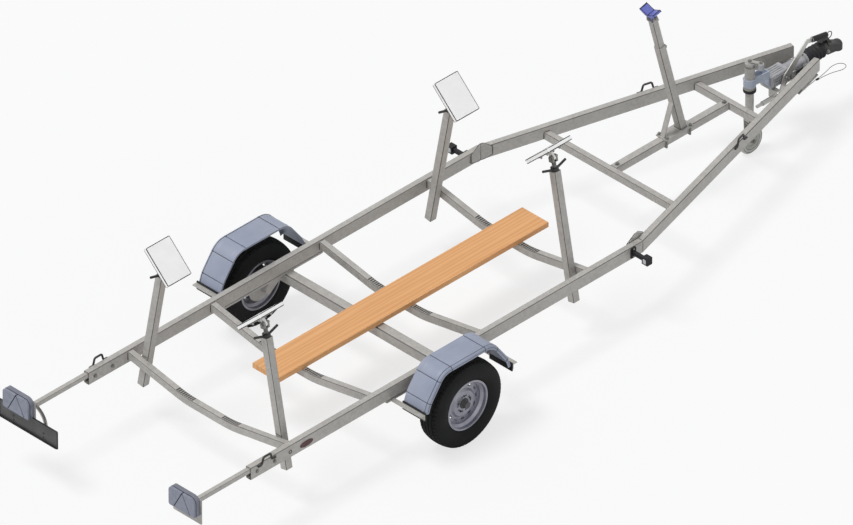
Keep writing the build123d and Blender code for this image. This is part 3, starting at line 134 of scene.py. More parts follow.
def setWorld(settings):
    # rays that reach the lens directly, by glass or by a mirror meet plain white; the rest are lit more dimly
    world = bpy.data.worlds.new("studio")
    world.use_nodes = True
    tree = Tree(world.node_tree, True)
    path = tree.add("LightPath").outputs
    seen = tree.add("Math", {0: path["Is Camera Ray"], 1: path["Is Transmission Ray"]}, operation="MAXIMUM")
    seen = tree.add("Math", {0: seen.outputs[0], 1: path["Is Glossy Ray"]}, operation="MAXIMUM")
    lit = tree.add("Background", {"Strength": settings["ambient"], "Color": settings["ambientTint"]})
    shown = tree.add("Background", {"Strength": 1.0, "Color": (1, 1, 1, 1)})
    mix = tree.add("MixShader", {"Fac": seen.outputs[0], 1: lit.outputs[0], 2: shown.outputs[0]})
    tree.add("OutputWorld", {"Surface": mix.outputs[0]})
    bpy.context.scene.world = world


def layFloor(settings):
    # a wide disc that takes soft shadows and glows a little towards the lens, so that it fades into the world
    turn = np.linspace(0, 2 * pi, 96, endpoint=False)
    rim = np.stack([np.cos(turn), np.sin(turn), 0 * turn], -1) * settings["floorRadius"]
    mesh = bpy.data.meshes.new("floor")
    mesh.from_pydata(rim.tolist(), [], [list(range(96))])
    floor = link(bpy.data.objects.new("floor", mesh))
    material = bpy.data.materials.new("floor")
    material.use_nodes = True
    tree = Tree(material.node_tree, True)
    matt = tree.add("BsdfDiffuse", {"Color": (settings["floorShade"],) * 3 + (1,)})
    glow = tree.add("Emission", {"Strength": 1.0})
    seen = tree.add("LightPath").outputs["Is Camera Ray"]
    share = tree.add("Math", {0: seen, 1: settings["floorGlow"]}, operation="MULTIPLY")
    mix = tree.add("MixShader", {"Fac": share.outputs[0], 1: matt.outputs[0], 2: glow.outputs[0]})
    tree.add("OutputMaterial", {"Surface": mix.outputs[0]})
    mesh.materials.append(material)


placeCamera(cameraSettings)
for light in ("key", "fill"):
    sunFrom(f"{light}Light", *(studioSettings[light + part] for part in ("From", "Strength", "Softness")))
setWorld(studioSettings)
layFloor(studioSettings)
bpy.context.scene.view_settings.view_transform = "Standard"
print("camera and studio set")


# finishes

def ink(red, green, blue):
    # display values 0-255 turned into the linear ones that nodes take
    values = np.array([red, green, blue]) / 255
    linear = np.where(values <= 0.04045, values / 12.92, ((values + 0.055) / 1.055) ** 2.4)
    return tuple(float(v) for v in linear) + (1.0,)


def startGroup(name, inputs, outputs):
    # an empty node group with number sockets, its inputs carrying their resting values
    group = bpy.data.node_groups.new(name, "ShaderNodeTree")
    for label, value in inputs.items():
        group.interface.new_socket(name=label, in_out="INPUT", socket_type="NodeSocketFloat").default_value = value
    for label in outputs:
        group.interface.new_socket(name=label, in_out="OUTPUT", socket_type="NodeSocketFloat")
    tree = Tree(group)
    return group, tree, group.nodes.new("NodeGroupInput").outputs, group.nodes.new("NodeGroupOutput")


def makeMottle():
    # soft blotches with a finer grain over them
    group, tree, given, result = startGroup(
        "mottle", {"Blotch Scale": 6.0, "Grain Scale": 160.0, "Grain Share": 0.35}, ["Shade", "Height"])
    place = tree.add("TexCoord").outputs["Object"]
    blotch, grain = (tree.add("TexNoise", {"Vector": place, "Scale": given[scale], "Detail": detail}).outputs[0]
                     for scale, detail in (("Blotch Scale", 4.0), ("Grain Scale", 3.0)))
    mix = tree.add("Mix", {"Factor": given["Grain Share"], "A": blotch, "B": grain}).outputs["Result"]
    spread = tree.add("MapRange", {"Value": mix, "From Min": 0.34, "From Max": 0.66})
    tree.wire(spread.outputs["Result"], result, "Shade")
    tree.wire(grain, result, "Height")
    return group


def makeSpangle():
    # zinc crystals: cells of slightly different greys, with noise inside each
    group, tree, given, result = startGroup(
        "spangle", {"Crystal Scale": 90.0, "Cloud Scale": 5.0}, ["Shade", "Height"])
    place = tree.add("TexCoord").outputs["Object"]
    cells = tree.add("TexVoronoi", {"Vector": place, "Scale": given["Crystal Scale"]}).outputs
    cloud = tree.add("TexNoise", {"Vector": place, "Scale": given["Cloud Scale"], "Detail": 5.0}).outputs[0]
    grey = tree.add("RGBToBW", {"Color": cells["Color"]}).outputs[0]
    mix = tree.add("Mix", {"Factor": 0.55, "A": grey, "B": cloud}).outputs["Result"]
    tree.wire(mix, result, "Shade")
    tree.wire(cells["Distance"], result, "Height")
    return group


def makeDust():
    # road dust that gathers in patches on faces that look up
    group, tree, given, result = startGroup("dust", {"Amount": 0.35, "Patch Scale": 3.0}, ["Mask"])
    place = tree.add("TexCoord").outputs["Object"]
    patch = tree.add("TexNoise", {"Vector": place, "Scale": given["Patch Scale"], "Detail": 6.0}).outputs[0]
    normal = tree.add("SeparateXYZ", {0: tree.add("NewGeometry").outputs["Normal"]}).outputs
    upward = tree.add("MapRange", {"Value": normal["Z"], "From Min": -0.3, "From Max": 1.0, "To Min": 0.25})
    sized = tree.add("MapRange", {"Value": patch, "From Min": 0.42, "From Max": 0.70, "To Max": given["Amount"]})
    product = tree.add("Math", {0: upward.outputs["Result"], 1: sized.outputs["Result"]}, operation="MULTIPLY")
    tree.wire(product.outputs[0], result, "Mask")
    return group


def makeCornerShade():
    # painted shade on a tube's rounded corners: strong where the normal leans between two of the part's directions
    group, tree, given, result = startGroup("cornerShade", {"Amount": 0.0}, ["Mask"])
    normal = tree.add("TexCoord").outputs["Normal"]
    size = tree.add("VectorMath", {0: normal}, operation="ABSOLUTE").outputs[0]
    parts = tree.add("SeparateXYZ", {0: size}).outputs
    largest = parts["X"]
    for axis in ("Y", "Z"):
        largest = tree.add("Math", {0: largest, 1: parts[axis]}, operation="MAXIMUM").outputs[0]
    leaning = tree.add("MapRange", {"Value": largest, "From Min": 0.945, "From Max": 0.86,
                                    "To Max": given["Amount"]})
    tree.wire(leaning.outputs["Result"], result, "Mask")
    return group


mottleGroup, spangleGroup, dustGroup, cornerShadeGroup = makeMottle(), makeSpangle(), makeDust(), makeCornerShade()

# dark, light, the pattern's two scales, roughness from and to, metal, bump, dust, then painted corner shade and shine
finishes = {
    "galvanised": ((150, 148, 145), (190, 188, 184), 55, 4, (0.42, 0.62), 0.35, 0.06, 0.2),
    # the tube finish paints shade onto its rounded corners
    "galvanisedTube": ((156, 153, 149), (196, 193, 188), 55, 4, (0.42, 0.62), 0.3, 0.06, 0.2, 0.85),
    "zincPlate": ((178, 177, 174), (208, 207, 203), 9, 220, (0.28, 0.45), 0.6, 0.03, 0.15),
    "zincCasting": ((140, 141, 146), (184, 185, 190), 14, 300, (0.45, 0.65), 0.4, 0.25, 0.2),
    "blackSteel": ((12, 12, 14), (30, 30, 32), 12, 240, (0.35, 0.55), 0.0, 0.05, 0.12),
    "blackCasting": ((14, 14, 16), (36, 36, 40), 16, 320, (0.45, 0.7), 0.0, 0.3, 0.15),
    "boltZinc": ((108, 107, 104), (150, 149, 145), 40, 500, (0.3, 0.5), 0.6, 0.05, 0.15),
    "darkSteel": ((34, 34, 36), (58, 58, 60), 9, 200, (0.4, 0.6), 0.1, 0.06, 0.15),
    "tyreRubber": ((7, 8, 9), (20, 21, 22), 8, 420, (0.7, 0.9), 0.0, 0.12, 0.03, 0, 0.25),
    "greyRubber": ((176, 176, 171), (206, 206, 200), 14, 420, (0.55, 0.75), 0.0, 0.08, 0.2, 0, 0.3),
    "softRubber": ((14, 14, 17), (30, 30, 36), 14, 500, (0.5, 0.75), 0.0, 0.05, 0.05, 0, 0.3),
    "rimPaint": ((134, 135, 146), (168, 169, 180), 10, 300, (0.3, 0.45), 0.45, 0.03, 0.3),
    "hubCasting": ((60, 60, 62), (96, 96, 100), 16, 300, (0.5, 0.75), 0.3, 0.2, 0.3),
    "clampPaint": ((152, 160, 176), (180, 189, 206), 16, 380, (0.35, 0.5), 0.1, 0.04, 0.15),
    "guardPanel": ((138, 146, 166), (156, 163, 182), 5, 380, (0.38, 0.55), 0.0, 0.04, 0.2),
    "padPlastic": ((247, 247, 245), (255, 255, 254), 10, 420, (0.4, 0.6), 0.0, 0.06, 0.08),
    "lampPlastic": ((104, 107, 120), (126, 129, 142), 12, 420, (0.12, 0.25), 0.0, 0.02, 0.1),
    "lampLens": ((118, 122, 138), (138, 142, 158), 30, 420, (0.12, 0.25), 0.0, 0.02, 0.08),
    "markerLens": ((166, 167, 170), (196, 197, 200), 30, 420, (0.12, 0.25), 0.0, 0.02, 0.08),
    "boardPlastic": ((50, 50, 51), (74, 74, 75), 7, 300, (0.35, 0.5), 0.0, 0.04, 0.15),
    "blockUrethane": ((86, 95, 176), (116, 124, 202), 20, 420, (0.3, 0.5), 0.0, 0.05, 0.08),
    "weldMetal": ((62, 61, 58), (104, 102, 98), 60, 600, (0.4, 0.65), 0.5, 0.3, 0.2),
    "badgePaint": ((52, 18, 22), (84, 30, 34), 20, 420, (0.25, 0.4), 0.0, 0.02, 0.1),
}
spangled = ("galvanised", "galvanisedTube")
# the first colour is painted shade for rounded corners, the second is real dust
cornerShadeColour, dustColour = ink(46, 44, 41), ink(170, 166, 156)


def startMaterial(name):
    # a new material with its tree and its surface node
    material = bpy.data.materials.new(name)
    material.use_nodes = True
    return material, Tree(material.node_tree), material.node_tree.nodes["Principled BSDF"]


def makeFinish(name, dark, light, wide, fine, rough, metal, bump, dust, corner=0, shine=0.5):
    # the pattern's shade picks between the dark and the light colour and between the two roughnesses
    material, tree, shader = startMaterial(name)
    labels = ("Crystal Scale", "Cloud Scale") if name in spangled else ("Blotch Scale", "Grain Scale")
    group = spangleGroup if name in spangled else mottleGroup
    pattern = tree.add("Group", node_tree=group)
    for label, value in zip(labels, (wide, fine)):
        tree.wire(value, pattern, label)
    pattern = pattern.outputs
    colour = tree.blend(pattern["Shade"], ink(*dark), ink(*light))
    # the corner layer paints shade onto rounded corners; the dust layer lays real dust
    for group, amount, over in ((cornerShadeGroup, corner, cornerShadeColour), (dustGroup, dust, dustColour)):
        if amount:
            layer = tree.add("Group", node_tree=group)
            tree.wire(amount, layer, "Amount")
            colour = tree.blend(layer.outputs["Mask"], colour, over)
    tree.wire(colour, shader, "Base Color")
    tree.wire(tree.ranged(pattern["Shade"], *rough), shader, "Roughness")
    tree.wire(tree.bumped(pattern["Height"], bump), shader, "Normal")
    tree.wire(metal, shader, "Metallic")
    tree.wire(shine, shader, "Specular IOR Level")
    return material


def makePlankWood():
    # pine: long grain lines along x with darker late wood, wandering a little, and fine fibres over them
    material, tree, shader = startMaterial("plankWood")
    place = tree.add("TexCoord").outputs["Object"]
    board, threads = (tree.add("Mapping", {"Vector": place, "Scale": scale}).outputs[0]
                      for scale in ((0.5, 9.0, 9.0), (6.0, 420.0, 420.0)))
    wander = tree.add("TexNoise", {"Vector": board, "Scale": 1.6, "Detail": 3.0}).outputs[0]
    grain = tree.add("TexWave", {"Vector": board, "Scale": 1.1, "Distortion": 9.0, "Detail": 3.0,
                                 "Detail Scale": 1.4}, wave_type="BANDS", bands_direction="Y").outputs["Fac"]
    fibre = tree.add("TexNoise", {"Vector": threads, "Scale": 1.0, "Detail": 2.0}).outputs[0]
    early = tree.blend(wander, ink(238, 184, 128), ink(228, 170, 112))
    late = tree.blend(tree.ranged(grain, 0.0, 0.55), early, ink(206, 142, 88))
    whole = tree.blend(tree.ranged(fibre, 0.0, 0.25), late, ink(190, 132, 84))
    tree.wire(whole, shader, "Base Color")
    tree.wire(tree.ranged(fibre, 0.5, 0.72), shader, "Roughness")
    tree.wire(tree.bumped(fibre, 0.15), shader, "Normal")
    return material


materials = {name: makeFinish(name, *recipe) for name, recipe in finishes.items()}
materials["plankWood"] = makePlankWood()

nodeFinishes = {
    "galvanised": ["kink_plates", "axle_shoes", "suspension_arms", "bow_base", "jockey_tube", "jockey_leg",
                   "jockey_fork"] + [f"spindle_{end}_{side}" for end in ("rear", "front") for side in sides],
    "galvanisedTube": ["rails", "drawbar_arms", "cradle_bar_1", "cradle_bar_2", "cradle_bar_3", "cradle_bar_4",
                       "arm_bars", "centre_beam", "axle_beam", "guard_bars", "pad_posts", "bow_post", "bow_brace",
                       "bow_slide", "lamp_bar_left", "lamp_bar_right"],
    "zincPlate": ["hitch_plate", "draw_tube", "brake_strut", "handbrake_lever"],
    "zincCasting": ["overrun_housing"],
    "blackSteel": ["nut_bars", "lashing_eyes", "cable_ferrule"],
    "blackCasting": ["coupling_head"],
    "softRubber": ["bellows", "guard_strips", "marker_arms", "marker_lamps", "breakaway_cable"],
    "rimPaint": ["rim_left", "rim_right"],
    "tyreRubber": ["tyre_left", "tyre_right"],
    "greyRubber": ["jockey_wheel"],
    "hubCasting": ["hub_left", "hub_right"],
    "clampPaint": ["jockey_clamp"],
    "guardPanel": ["mudguard_left", "mudguard_right"],
    "padPlastic": [f"pad_{end}_{side}" for end in ("rear", "front") for side in sides],
    "lampPlastic": ["tail_lamp_left", "tail_lamp_right"],
    "boardPlastic": ["number_board"],
    "blockUrethane": ["bow_block"],
    "plankWood": ["keel_plank"],
}
for finish, nodeNames in nodeFinishes.items():
    for nodeName in nodeNames:
        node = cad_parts[nodeName]
        node.data.materials.clear()
        node.data.materials.append(materials[finish])
print("finishes made:", len(materials))


# mesh making

def spots(x, y, z):
    # points from three coordinates, each a number or an array
    return np.stack(np.broadcast_arrays(x, y, z), -1)


def fullTurn(count):
    # angles at equal steps once round a circle
    return np.linspace(0, 2 * pi, count, endpoint=False)


def skin(rows, columns, closed=False):
    # quads between neighbouring rows of closed loops; the rows meet end to end, or one face closes each end
    row, column = np.arange(rows if closed else rows - 1)[:, None], np.arange(columns)[None]
    nextRow, nextColumn = (row + 1) % rows, (column + 1) % columns
    corners = [row * columns + column, row * columns + nextColumn, nextRow * columns + nextColumn,
               nextRow * columns + column]
    quads = np.stack(np.broadcast_arrays(*corners), -1).reshape(-1, 4).tolist()
    last = (rows - 1) * columns
    return quads if closed else quads + [list(range(columns)), list(range(last, last + columns))]


def joinParts(parts):
    # stacks (points, faces) pairs into one pair, shifting each part's face numbers
    points, faces, count = [], [], 0
    for partPoints, partFaces in parts:
        points.append(np.asarray(partPoints).reshape(-1, 3))
        faces += [[index + count for index in face] for face in partFaces]
        count += len(points[-1])
    return np.concatenate(points), faces


def addPiece(name, parts, finish, body, smoothAngle, replaces=()):
    # joins the parts into one mesh in metres, with edges sharp above the angle, and says what it belongs to
    points, faces = joinParts(parts)
    mesh = bpy.data.meshes.new(name)
    mesh.from_pydata((points * 0.001).tolist(), [], faces)
    work = bmesh.new()
    work.from_mesh(mesh)
    bmesh.ops.remove_doubles(work, verts=work.verts, dist=1e-6)
    bmesh.ops.recalc_face_normals(work, faces=work.faces)
    work.to_mesh(mesh)
    work.free()
    mesh.polygons.foreach_set("use_smooth", [True] * len(mesh.polygons))
    mesh.set_sharp_from_angle(angle=radians(smoothAngle))
    mesh.materials.append(materials[finish])
    piece = link(bpy.data.objects.new(name, mesh))
    if body:
        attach(piece, body)
    if replaces:
        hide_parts(*replaces)
    return piece


def addBolts(name, parts, body="frame"):
    # a piece of zinc plated bolts, nuts or rings
    addPiece(name, parts, "boltZinc", body, 30)


def addWelds(name, parts):
    # a piece of weld beads on the frame
    addPiece(name, parts, "weldMetal", "frame", 60)


def unit(vector):
    # a vector divided by its length
    return np.asarray(vector, float) / np.linalg.norm(vector)


def turned(origin, axis, profile, around=48, closed=False):
    # surface of revolution: each (along, radius) of the profile swept round the axis; a closed one is a ring
    profile = np.asarray(profile, float)
    along = unit(axis)
    first = np.cross(zWay, along)
    if np.linalg.norm(first) < 1e-6:
        first = np.cross(xWay, along)
    first /= np.linalg.norm(first)
    angle = fullTurn(around)[:, None]
    spoke = np.cos(angle) * first + np.sin(angle) * np.cross(along, first)
    points = np.asarray(origin) + profile[:, None, :1] * along + profile[:, None, 1:] * spoke[None]
    return points, skin(len(profile), around, closed)


def placed(flat, origin, acrossX, acrossY):
    # a flat outline laid from the origin along two directions
    flat = np.asarray(flat, float)
    return np.asarray(origin) + flat[:, :1] * np.asarray(acrossX, float) + flat[:, 1:] * np.asarray(acrossY, float)


def prism(flat, origin, acrossX, acrossY, depth):
    # a flat outline carried straight through by depth along the cross product of its two directions
    base = placed(flat, origin, acrossX, acrossY)
    return np.stack([base, base + np.cross(acrossX, acrossY) * depth]), skin(2, len(base))


def pathTangents(points, closed=False):
    # each station's direction, from the station before it to the one after it
    steps = np.roll(points, -1, 0) - np.roll(points, 1, 0) if closed else np.gradient(points, axis=0)
    return steps / np.linalg.norm(steps, axis=1, keepdims=True)


def tube(path, radius, side, around=12, closed=False):
    # circles carried along a flat path; radius is one number or one for each station
    spin = fullTurn(around)[None, :, None]
    path, side = np.asarray(path, float), unit(side)
    across = np.cross(pathTangents(path, closed), side)
    across /= np.linalg.norm(across, axis=1, keepdims=True)
    size = np.broadcast_to(radius, len(path))[:, None, None]
    points = path[:, None] + size * (np.cos(spin) * side + np.sin(spin) * across[:, None])
    return points, skin(len(path), around, closed)


def bentPath(corners, radii, steps=8):
    # straight runs joined by arcs: each corner becomes a row of points on a circle tangent to its two runs
    corners = np.asarray(corners, float)
    pieces = [corners[:1]]
    for before, corner, after, radius in zip(corners[:-2], corners[1:-1], corners[2:], radii):
        inward, outward = unit(before - corner), unit(after - corner)
        half = np.arccos(np.clip(inward @ outward, -1, 1)) / 2
        centre = corner + unit(inward + outward) * radius / sin(half)
        start, end = (corner + run * radius / tan(half) - centre for run in (inward, outward))
        share = np.linspace(0, 1, steps)[:, None]
        sweep = pi - 2 * half
        pieces.append(centre + (np.sin((1 - share) * sweep) * start + np.sin(share * sweep) * end) / sin(sweep))
    pieces.append(corners[-1:])
    return np.concatenate(pieces)


def arc(centreX, centreY, radius, angle):
    # the centre plus the radius times the cosine and the sine of each angle
    return np.stack([centreX + radius * np.cos(angle), centreY + radius * np.sin(angle)], -1)


def roundedBox(width, height, radius, steps=6):
    # outline of a rectangle with quarter circles at its corners
    quarter = np.linspace(0, pi / 2, steps)
    return np.concatenate([arc(sx * (width / 2 - radius), sy * (height / 2 - radius), radius, quarter + k * pi / 2)
                           for k, (sx, sy) in enumerate(((1, 1), (-1, 1), (-1, -1), (1, -1)))])


# shares of the screw's diameter
bolt = Sizes(washer=1.25, washerThick=0.2, flats=1.6, height=0.65, nutHeight=1.25, chamfer=0.08, chamferIn=0.88,
             screwRise=0.35, tipRise=0.42)


def boltHead(spot, normal, size, nut=False):
    # washer, six-sided head and, on a nut, the screw's end
    washer, thick = size * bolt.washer, size * bolt.washerThick
    across = size * bolt.flats / 2 / cos(pi / 6)
    top = thick + size * bolt.height * (bolt.nutHeight if nut else 1)
    head = [(thick, across), (top - size * bolt.chamfer, across), (top, across * bolt.chamferIn)]
    parts = [turned(spot, normal, [(-0.5, washer), (thick, washer)], 20), turned(spot, normal, head, 6)]
    if nut:
        end = [(top, size / 2), (top + size * bolt.screwRise, size / 2),
               (top + size * bolt.tipRise, size * bolt.tipRise)]
        parts.append(turned(spot, normal, end, 14))
    return parts


# wheels

tyre = Sizes(seat=178.3, beadHalf=68.7, beadTop=190.0, belly=248.7, half=92.5, shoulder=315.0, treadHalf=72.5,
             crown=324.8, centre=990.0, height=325.0, around=540, grooves=(-45, -16, 16, 45), grooveWidth=7.0,
             grooveDepth=7.0, grooveWave=2.5, blocks=60, slitWidth=0.16, slitDepth=5.0, slitFrom=40, slitLean=0.006,
             rings=((206, 5, 1.2), (285, 6, 0.8)))     # each ring's radius, half width and rise on the wall


def arcThrough(first, middle, last, count):
    # points on the circle through three points, from the first to the last
    (ax, ay), (bx, by), (cx, cy) = first, middle, last
    d = 2 * (ax * (by - cy) + bx * (cy - ay) + cx * (ay - by))
    ux = ((ax**2 + ay**2) * (by - cy) + (bx**2 + by**2) * (cy - ay) + (cx**2 + cy**2) * (ay - by)) / d
    uy = ((ax**2 + ay**2) * (cx - bx) + (bx**2 + by**2) * (ax - cx) + (cx**2 + cy**2) * (bx - ax)) / d
    angles = np.unwrap([np.arctan2(y - uy, x - ux) for x, y in (first, middle, last)])
    angle = np.interp(np.linspace(0, 2, count), (0, 1, 2), angles)
    return arc(ux, uy, sqrt((ax - ux) ** 2 + (ay - uy) ** 2), angle)


def tyreParts(side):
    # radius and width of the section's arcs, swept round the axle, less the tread's grooves and shoulder slits
    edge = (tyre.treadHalf, tyre.shoulder)
    wall = arcThrough((tyre.beadHalf, tyre.beadTop), (tyre.half, tyre.belly), edge, 26)
    crown = arcThrough(edge, (0, tyre.crown), (-tyre.treadHalf, tyre.shoulder), 62)[1:-1]
    bead = np.array([(-tyre.beadHalf, tyre.seat), (tyre.beadHalf, tyre.seat)])
    profile = np.concatenate([wall, crown, wall[::-1] * (-1, 1), bead])
    across, radius = profile[:, 0], profile[:, 1]
    turn = fullTurn(tyre.around)[:, None]
    onTread = np.clip((tyre.treadHalf + 4 - np.abs(across)) / 3, 0, 1) * (radius > tyre.belly + 30)
    waved = across + tyre.grooveWave * np.sin(turn * tyre.blocks)
    groove = np.max([np.clip((tyre.grooveWidth / 2 + 1.2 - np.abs(waved - place)) / 1.6, 0, 1)
                     for place in tyre.grooves], 0)
    phase = np.mod(turn * tyre.blocks / (2 * pi) + across * tyre.slitLean, 1)
    slit = (np.abs(phase - 0.5) < tyre.slitWidth / 2) * (np.abs(across) > tyre.slitFrom)
    depth = np.maximum(groove * tyre.grooveDepth, slit * tyre.slitDepth) * onTread
    ridge = sum(rise * (np.abs(radius - place) < half) for place, half, rise in tyre.rings)
    outward = np.sign(across) * ridge * (radius < tyre.belly + 50) * (radius > tyre.beadTop + 5)
    swept = radius - depth
    points = spots(ahead(0) + swept * np.sin(turn), side * tyre.centre + across + outward * 0.5,
                   tyre.height + swept * np.cos(turn))
    return [(points, skin(tyre.around, len(profile), True))]


wheelTrim = Sizes(discFace=1025.0, boltCircle=59.0, bolts=5, boltSink=6, ring=34.0, ringSink=4)
for side, way in sides.items():
    addPiece(f"tyreTread_{side}", tyreParts(way), "tyreRubber", f"wheel_{side}", 28, [f"tyre_{side}"])
for side, way in sides.items():
    outer = way * wheelTrim.discFace
    heads = [turned((ahead(0) + wheelTrim.boltCircle * sin(turn), outer - way * wheelTrim.boltSink,
                     tyre.height + wheelTrim.boltCircle * cos(turn)), (0, way, 0),
                    [(0, 7.2), (11, 7.2), (13, 6.2)], 6)
             for turn in fullTurn(wheelTrim.bolts)]
    addPiece(f"wheelBolts_{side}", heads, "darkSteel", f"wheel_{side}", 30)
    ring = [(rise, wheelTrim.ring + wider) for rise, wider in ((3, -2), (3, 5), (8, 4), (10, -2))]
    addPiece(f"capRing_{side}", [turned((ahead(0), outer - way * wheelTrim.ringSink, tyre.height), (0, way, 0), ring,
                                        closed=True)], "darkSteel", f"wheel_{side}", 30)
print("wheels made")


# welds and fasteners of the frame

weld = Sizes(size=3.2, ripple=0.5, step=2.4, pitch=5.0)


def weldBead(start, end, size=weld.size):
    # a round bead from start to end whose radius ripples once every pitch and closes at both ends
    start, end = np.asarray(start, float), np.asarray(end, float)
    length = np.linalg.norm(end - start)
    share = np.linspace(0, 1, max(6, int(length / weld.step)))
    taper = np.sqrt(np.clip(np.minimum(share, 1 - share) * length / 3, 0.15, 1))
    radius = (size + weld.ripple * np.abs(np.sin(share * length * pi / weld.pitch))) * taper
    run = (end - start) / length
    side = np.cross(run, zWay if abs(run[2]) < 0.9 else xWay)
    return tube(start + share[:, None] * (end - start), radius, side, 8)


chassis = Sizes(railOuter=800.0, railInner=750.0, railBottom=481.0, railTop=581.0, railMiddle=531.0,
                kinkAhead=1942.0, armAngle=15.373, cradleAhead=(-1400, -618, 417, 1447), cradleTop=574.0,
                barHalf=25.0, barHeight=60.0, armBarsAhead=(2443.0, 3587.0), beamTop=541.0,
                beamBoltsAhead=(2504.0, 3545.0))
armSlope = tan(radians(chassis.armAngle))


def armInner(x):
    # inner face of a drawbar arm, its distance from the middle at an "ahead" of x
    outer = chassis.railOuter - (x - chassis.kinkAhead) * armSlope
    return outer - (chassis.railOuter - chassis.railInner) / cos(radians(chassis.armAngle))


# every bead on the left side as (start, end, size), with x as an "ahead"
beads = []
for barX in chassis.cradleAhead:
    for end in bothWays:
        foot = (barX + end * (chassis.barHalf + 1), chassis.railInner)
        beads.append(((*foot, chassis.cradleTop - chassis.barHeight - 8), (*foot, chassis.cradleTop - 9), weld.size))
    beads.append((*((barX + reach, chassis.railInner - 1, chassis.cradleTop - 3) for reach in (-20, 20)), weld.size))
for barX in chassis.armBarsAhead:
    for end in bothWays:
        x = barX + end * (chassis.barHalf + 1)
        beads.append((*((x, armInner(x) - 1, chassis.railBottom + rise) for rise in (5, 55)), weld.size))
    beads.append((*((x, armInner(x) - 1, chassis.beamTop) for x in (barX - 20, barX + 20)), weld.size))
kink, skinY, skinZ = chassis.kinkAhead, chassis.railOuter - 0.5, chassis.railTop - 0.5
beads += [((kink, skinY, chassis.railBottom + 8), (kink, skinY, chassis.railTop - 8), 2.2),
          ((kink + 3, chassis.railInner + 6, skinZ), (kink, chassis.railOuter - 8, skinZ), 2.2)]
welds = [weldBead(*((ahead(x), way * y, z) for x, y, z in (start, end)), size)
         for way in sides.values() for start, end, size in beads]

# the plate inside each kink: its outline from the corner along the rail and the arm, and up
kinkPlate = Sizes(thick=6.0, corner=(-42, 90), outline=((0, 94.0), (-19.0, 94.0), (-95.0, 42.0), (-95.0, -25.0),
                                                         (-31.7, -42.0), (0, -42.0)))
for way in sides.values():
    half = radians(chassis.armAngle / 2)
    inner = chassis.railInner - kinkPlate.thick
    corner = np.array((ahead(kink) - (chassis.railOuter - inner) * tan(half), way * inner, chassis.railMiddle))
    for run in ((-1.0, 0, 0), (cos(2 * half), -way * sin(2 * half), 0)):
        line = [corner - reach * np.array(run) + z * zWay for reach, z in kinkPlate.outline]
        welds += [weldBead(start, end, 2.0) for start, end in zip(line[:-1], line[1:])]
    welds.append(weldBead(*(corner + z * zWay for z in kinkPlate.corner), 1.6))
for barX, way in zip(chassis.armBarsAhead, (1, -1)):
    for y in (-31, 31):
        foot = (ahead(barX + way * chassis.barHalf), y)
        welds.append(weldBead((*foot, chassis.railBottom + 6), (*foot, chassis.beamTop - 6)))
addWelds("frameWelds", welds)

groove = Sizes(bend=800.0, grooves=9, floor=771.6, middleZ=1244.0, startY=220.0, drop=100.0, run=530.0, halfLong=19.0,
               halfWide=6.0, lift=1.9)


def grooveShadeStrips():
    # one thin dark strip of painted shade on the floor of each pressed groove, square to the bend's radius at that
    # groove
    slope = np.arctan(groove.drop / groove.run)
    startY = groove.startY - groove.bend * tan(slope / 2)
    long, wide, thick = 2 * groove.halfLong, 2 * groove.halfWide, 2 * groove.lift
    parts = []
    for turn in np.linspace(0, slope, groove.grooves):
        for way in sides.values():
            spot = np.array((0, way * (startY + groove.floor * sin(turn)), groove.middleZ - groove.floor * cos(turn)))
            along, up = np.array((0, way * cos(turn), sin(turn))), np.array((0, -way * sin(turn), cos(turn)))
            spot = spot - along * groove.halfWide - up * groove.lift * way
            parts += [prism([(0, 0), (long, 0), (long, wide), (0, wide)],
                            spot + (ahead(barX) - groove.halfLong) * xWay, xWay, along, thick)
                      for barX in chassis.cradleAhead]
    return parts


# dark strips that paint shade into the cradle bars' pressed grooves
addPiece("grooveShadeStrips", grooveShadeStrips(), "blackSteel", "frame", 30)

rail = Sizes(barBolts=(-1733.0, -1570.0), boltSize=12.0, beamBoltSize=14.0, ringAhead=-1422.0, ringRadius=15.0,
             plateAhead=-1269.0, plateHeight=526.0, plateLong=124.0, plateTall=48.0, plateThick=1.6, plateRim=4.0)
bolts = []
for way in sides.values():
    for boltX in rail.barBolts:
        for y, facing in ((chassis.railOuter, way), (chassis.railInner, -way)):
            bolts += boltHead((ahead(boltX), way * y, chassis.railMiddle), (0, facing, 0), rail.boltSize,
                              y == chassis.railInner)
for beamX in chassis.beamBoltsAhead:
    bolts += boltHead((ahead(beamX), 0, chassis.beamTop), zWay, rail.beamBoltSize, True)
addBolts("railBolts", bolts)

ring = [(rise, rail.ringRadius + wider)
        for rise, wider in ((-1, -5), (2.5, -5), (3.5, -3), (3.5, -1), (2, 0), (-1, 0))]
addPiece("railRing", [turned((ahead(rail.ringAhead), -chassis.railOuter, chassis.railMiddle), -yWay, ring, 32, True)],
         "darkSteel", "frame", 40)


def ovalPlate():
    # ellipse rows: a flat field, a raised rim and the edge down to the rail, each row one ellipse closed by a face
    turn = fullTurn(64)
    thick = rail.plateThick
    rows = [(0, -0.5), (0, thick - 0.4), (0.5, thick), (rail.plateRim, thick), (rail.plateRim + 0.8, thick - 0.7)]
    loops = [spots(ahead(rail.plateAhead) + (rail.plateLong / 2 - inset) * np.cos(turn), -chassis.railOuter - rise,
                   rail.plateHeight + (rail.plateTall / 2 - inset) * np.sin(turn)) for inset, rise in rows]
    return np.stack(loops), skin(len(rows), 64)


addPiece("ovalPlate", [ovalPlate()], "badgePaint", "frame", 30)
print("rails trimmed")


# mudguards

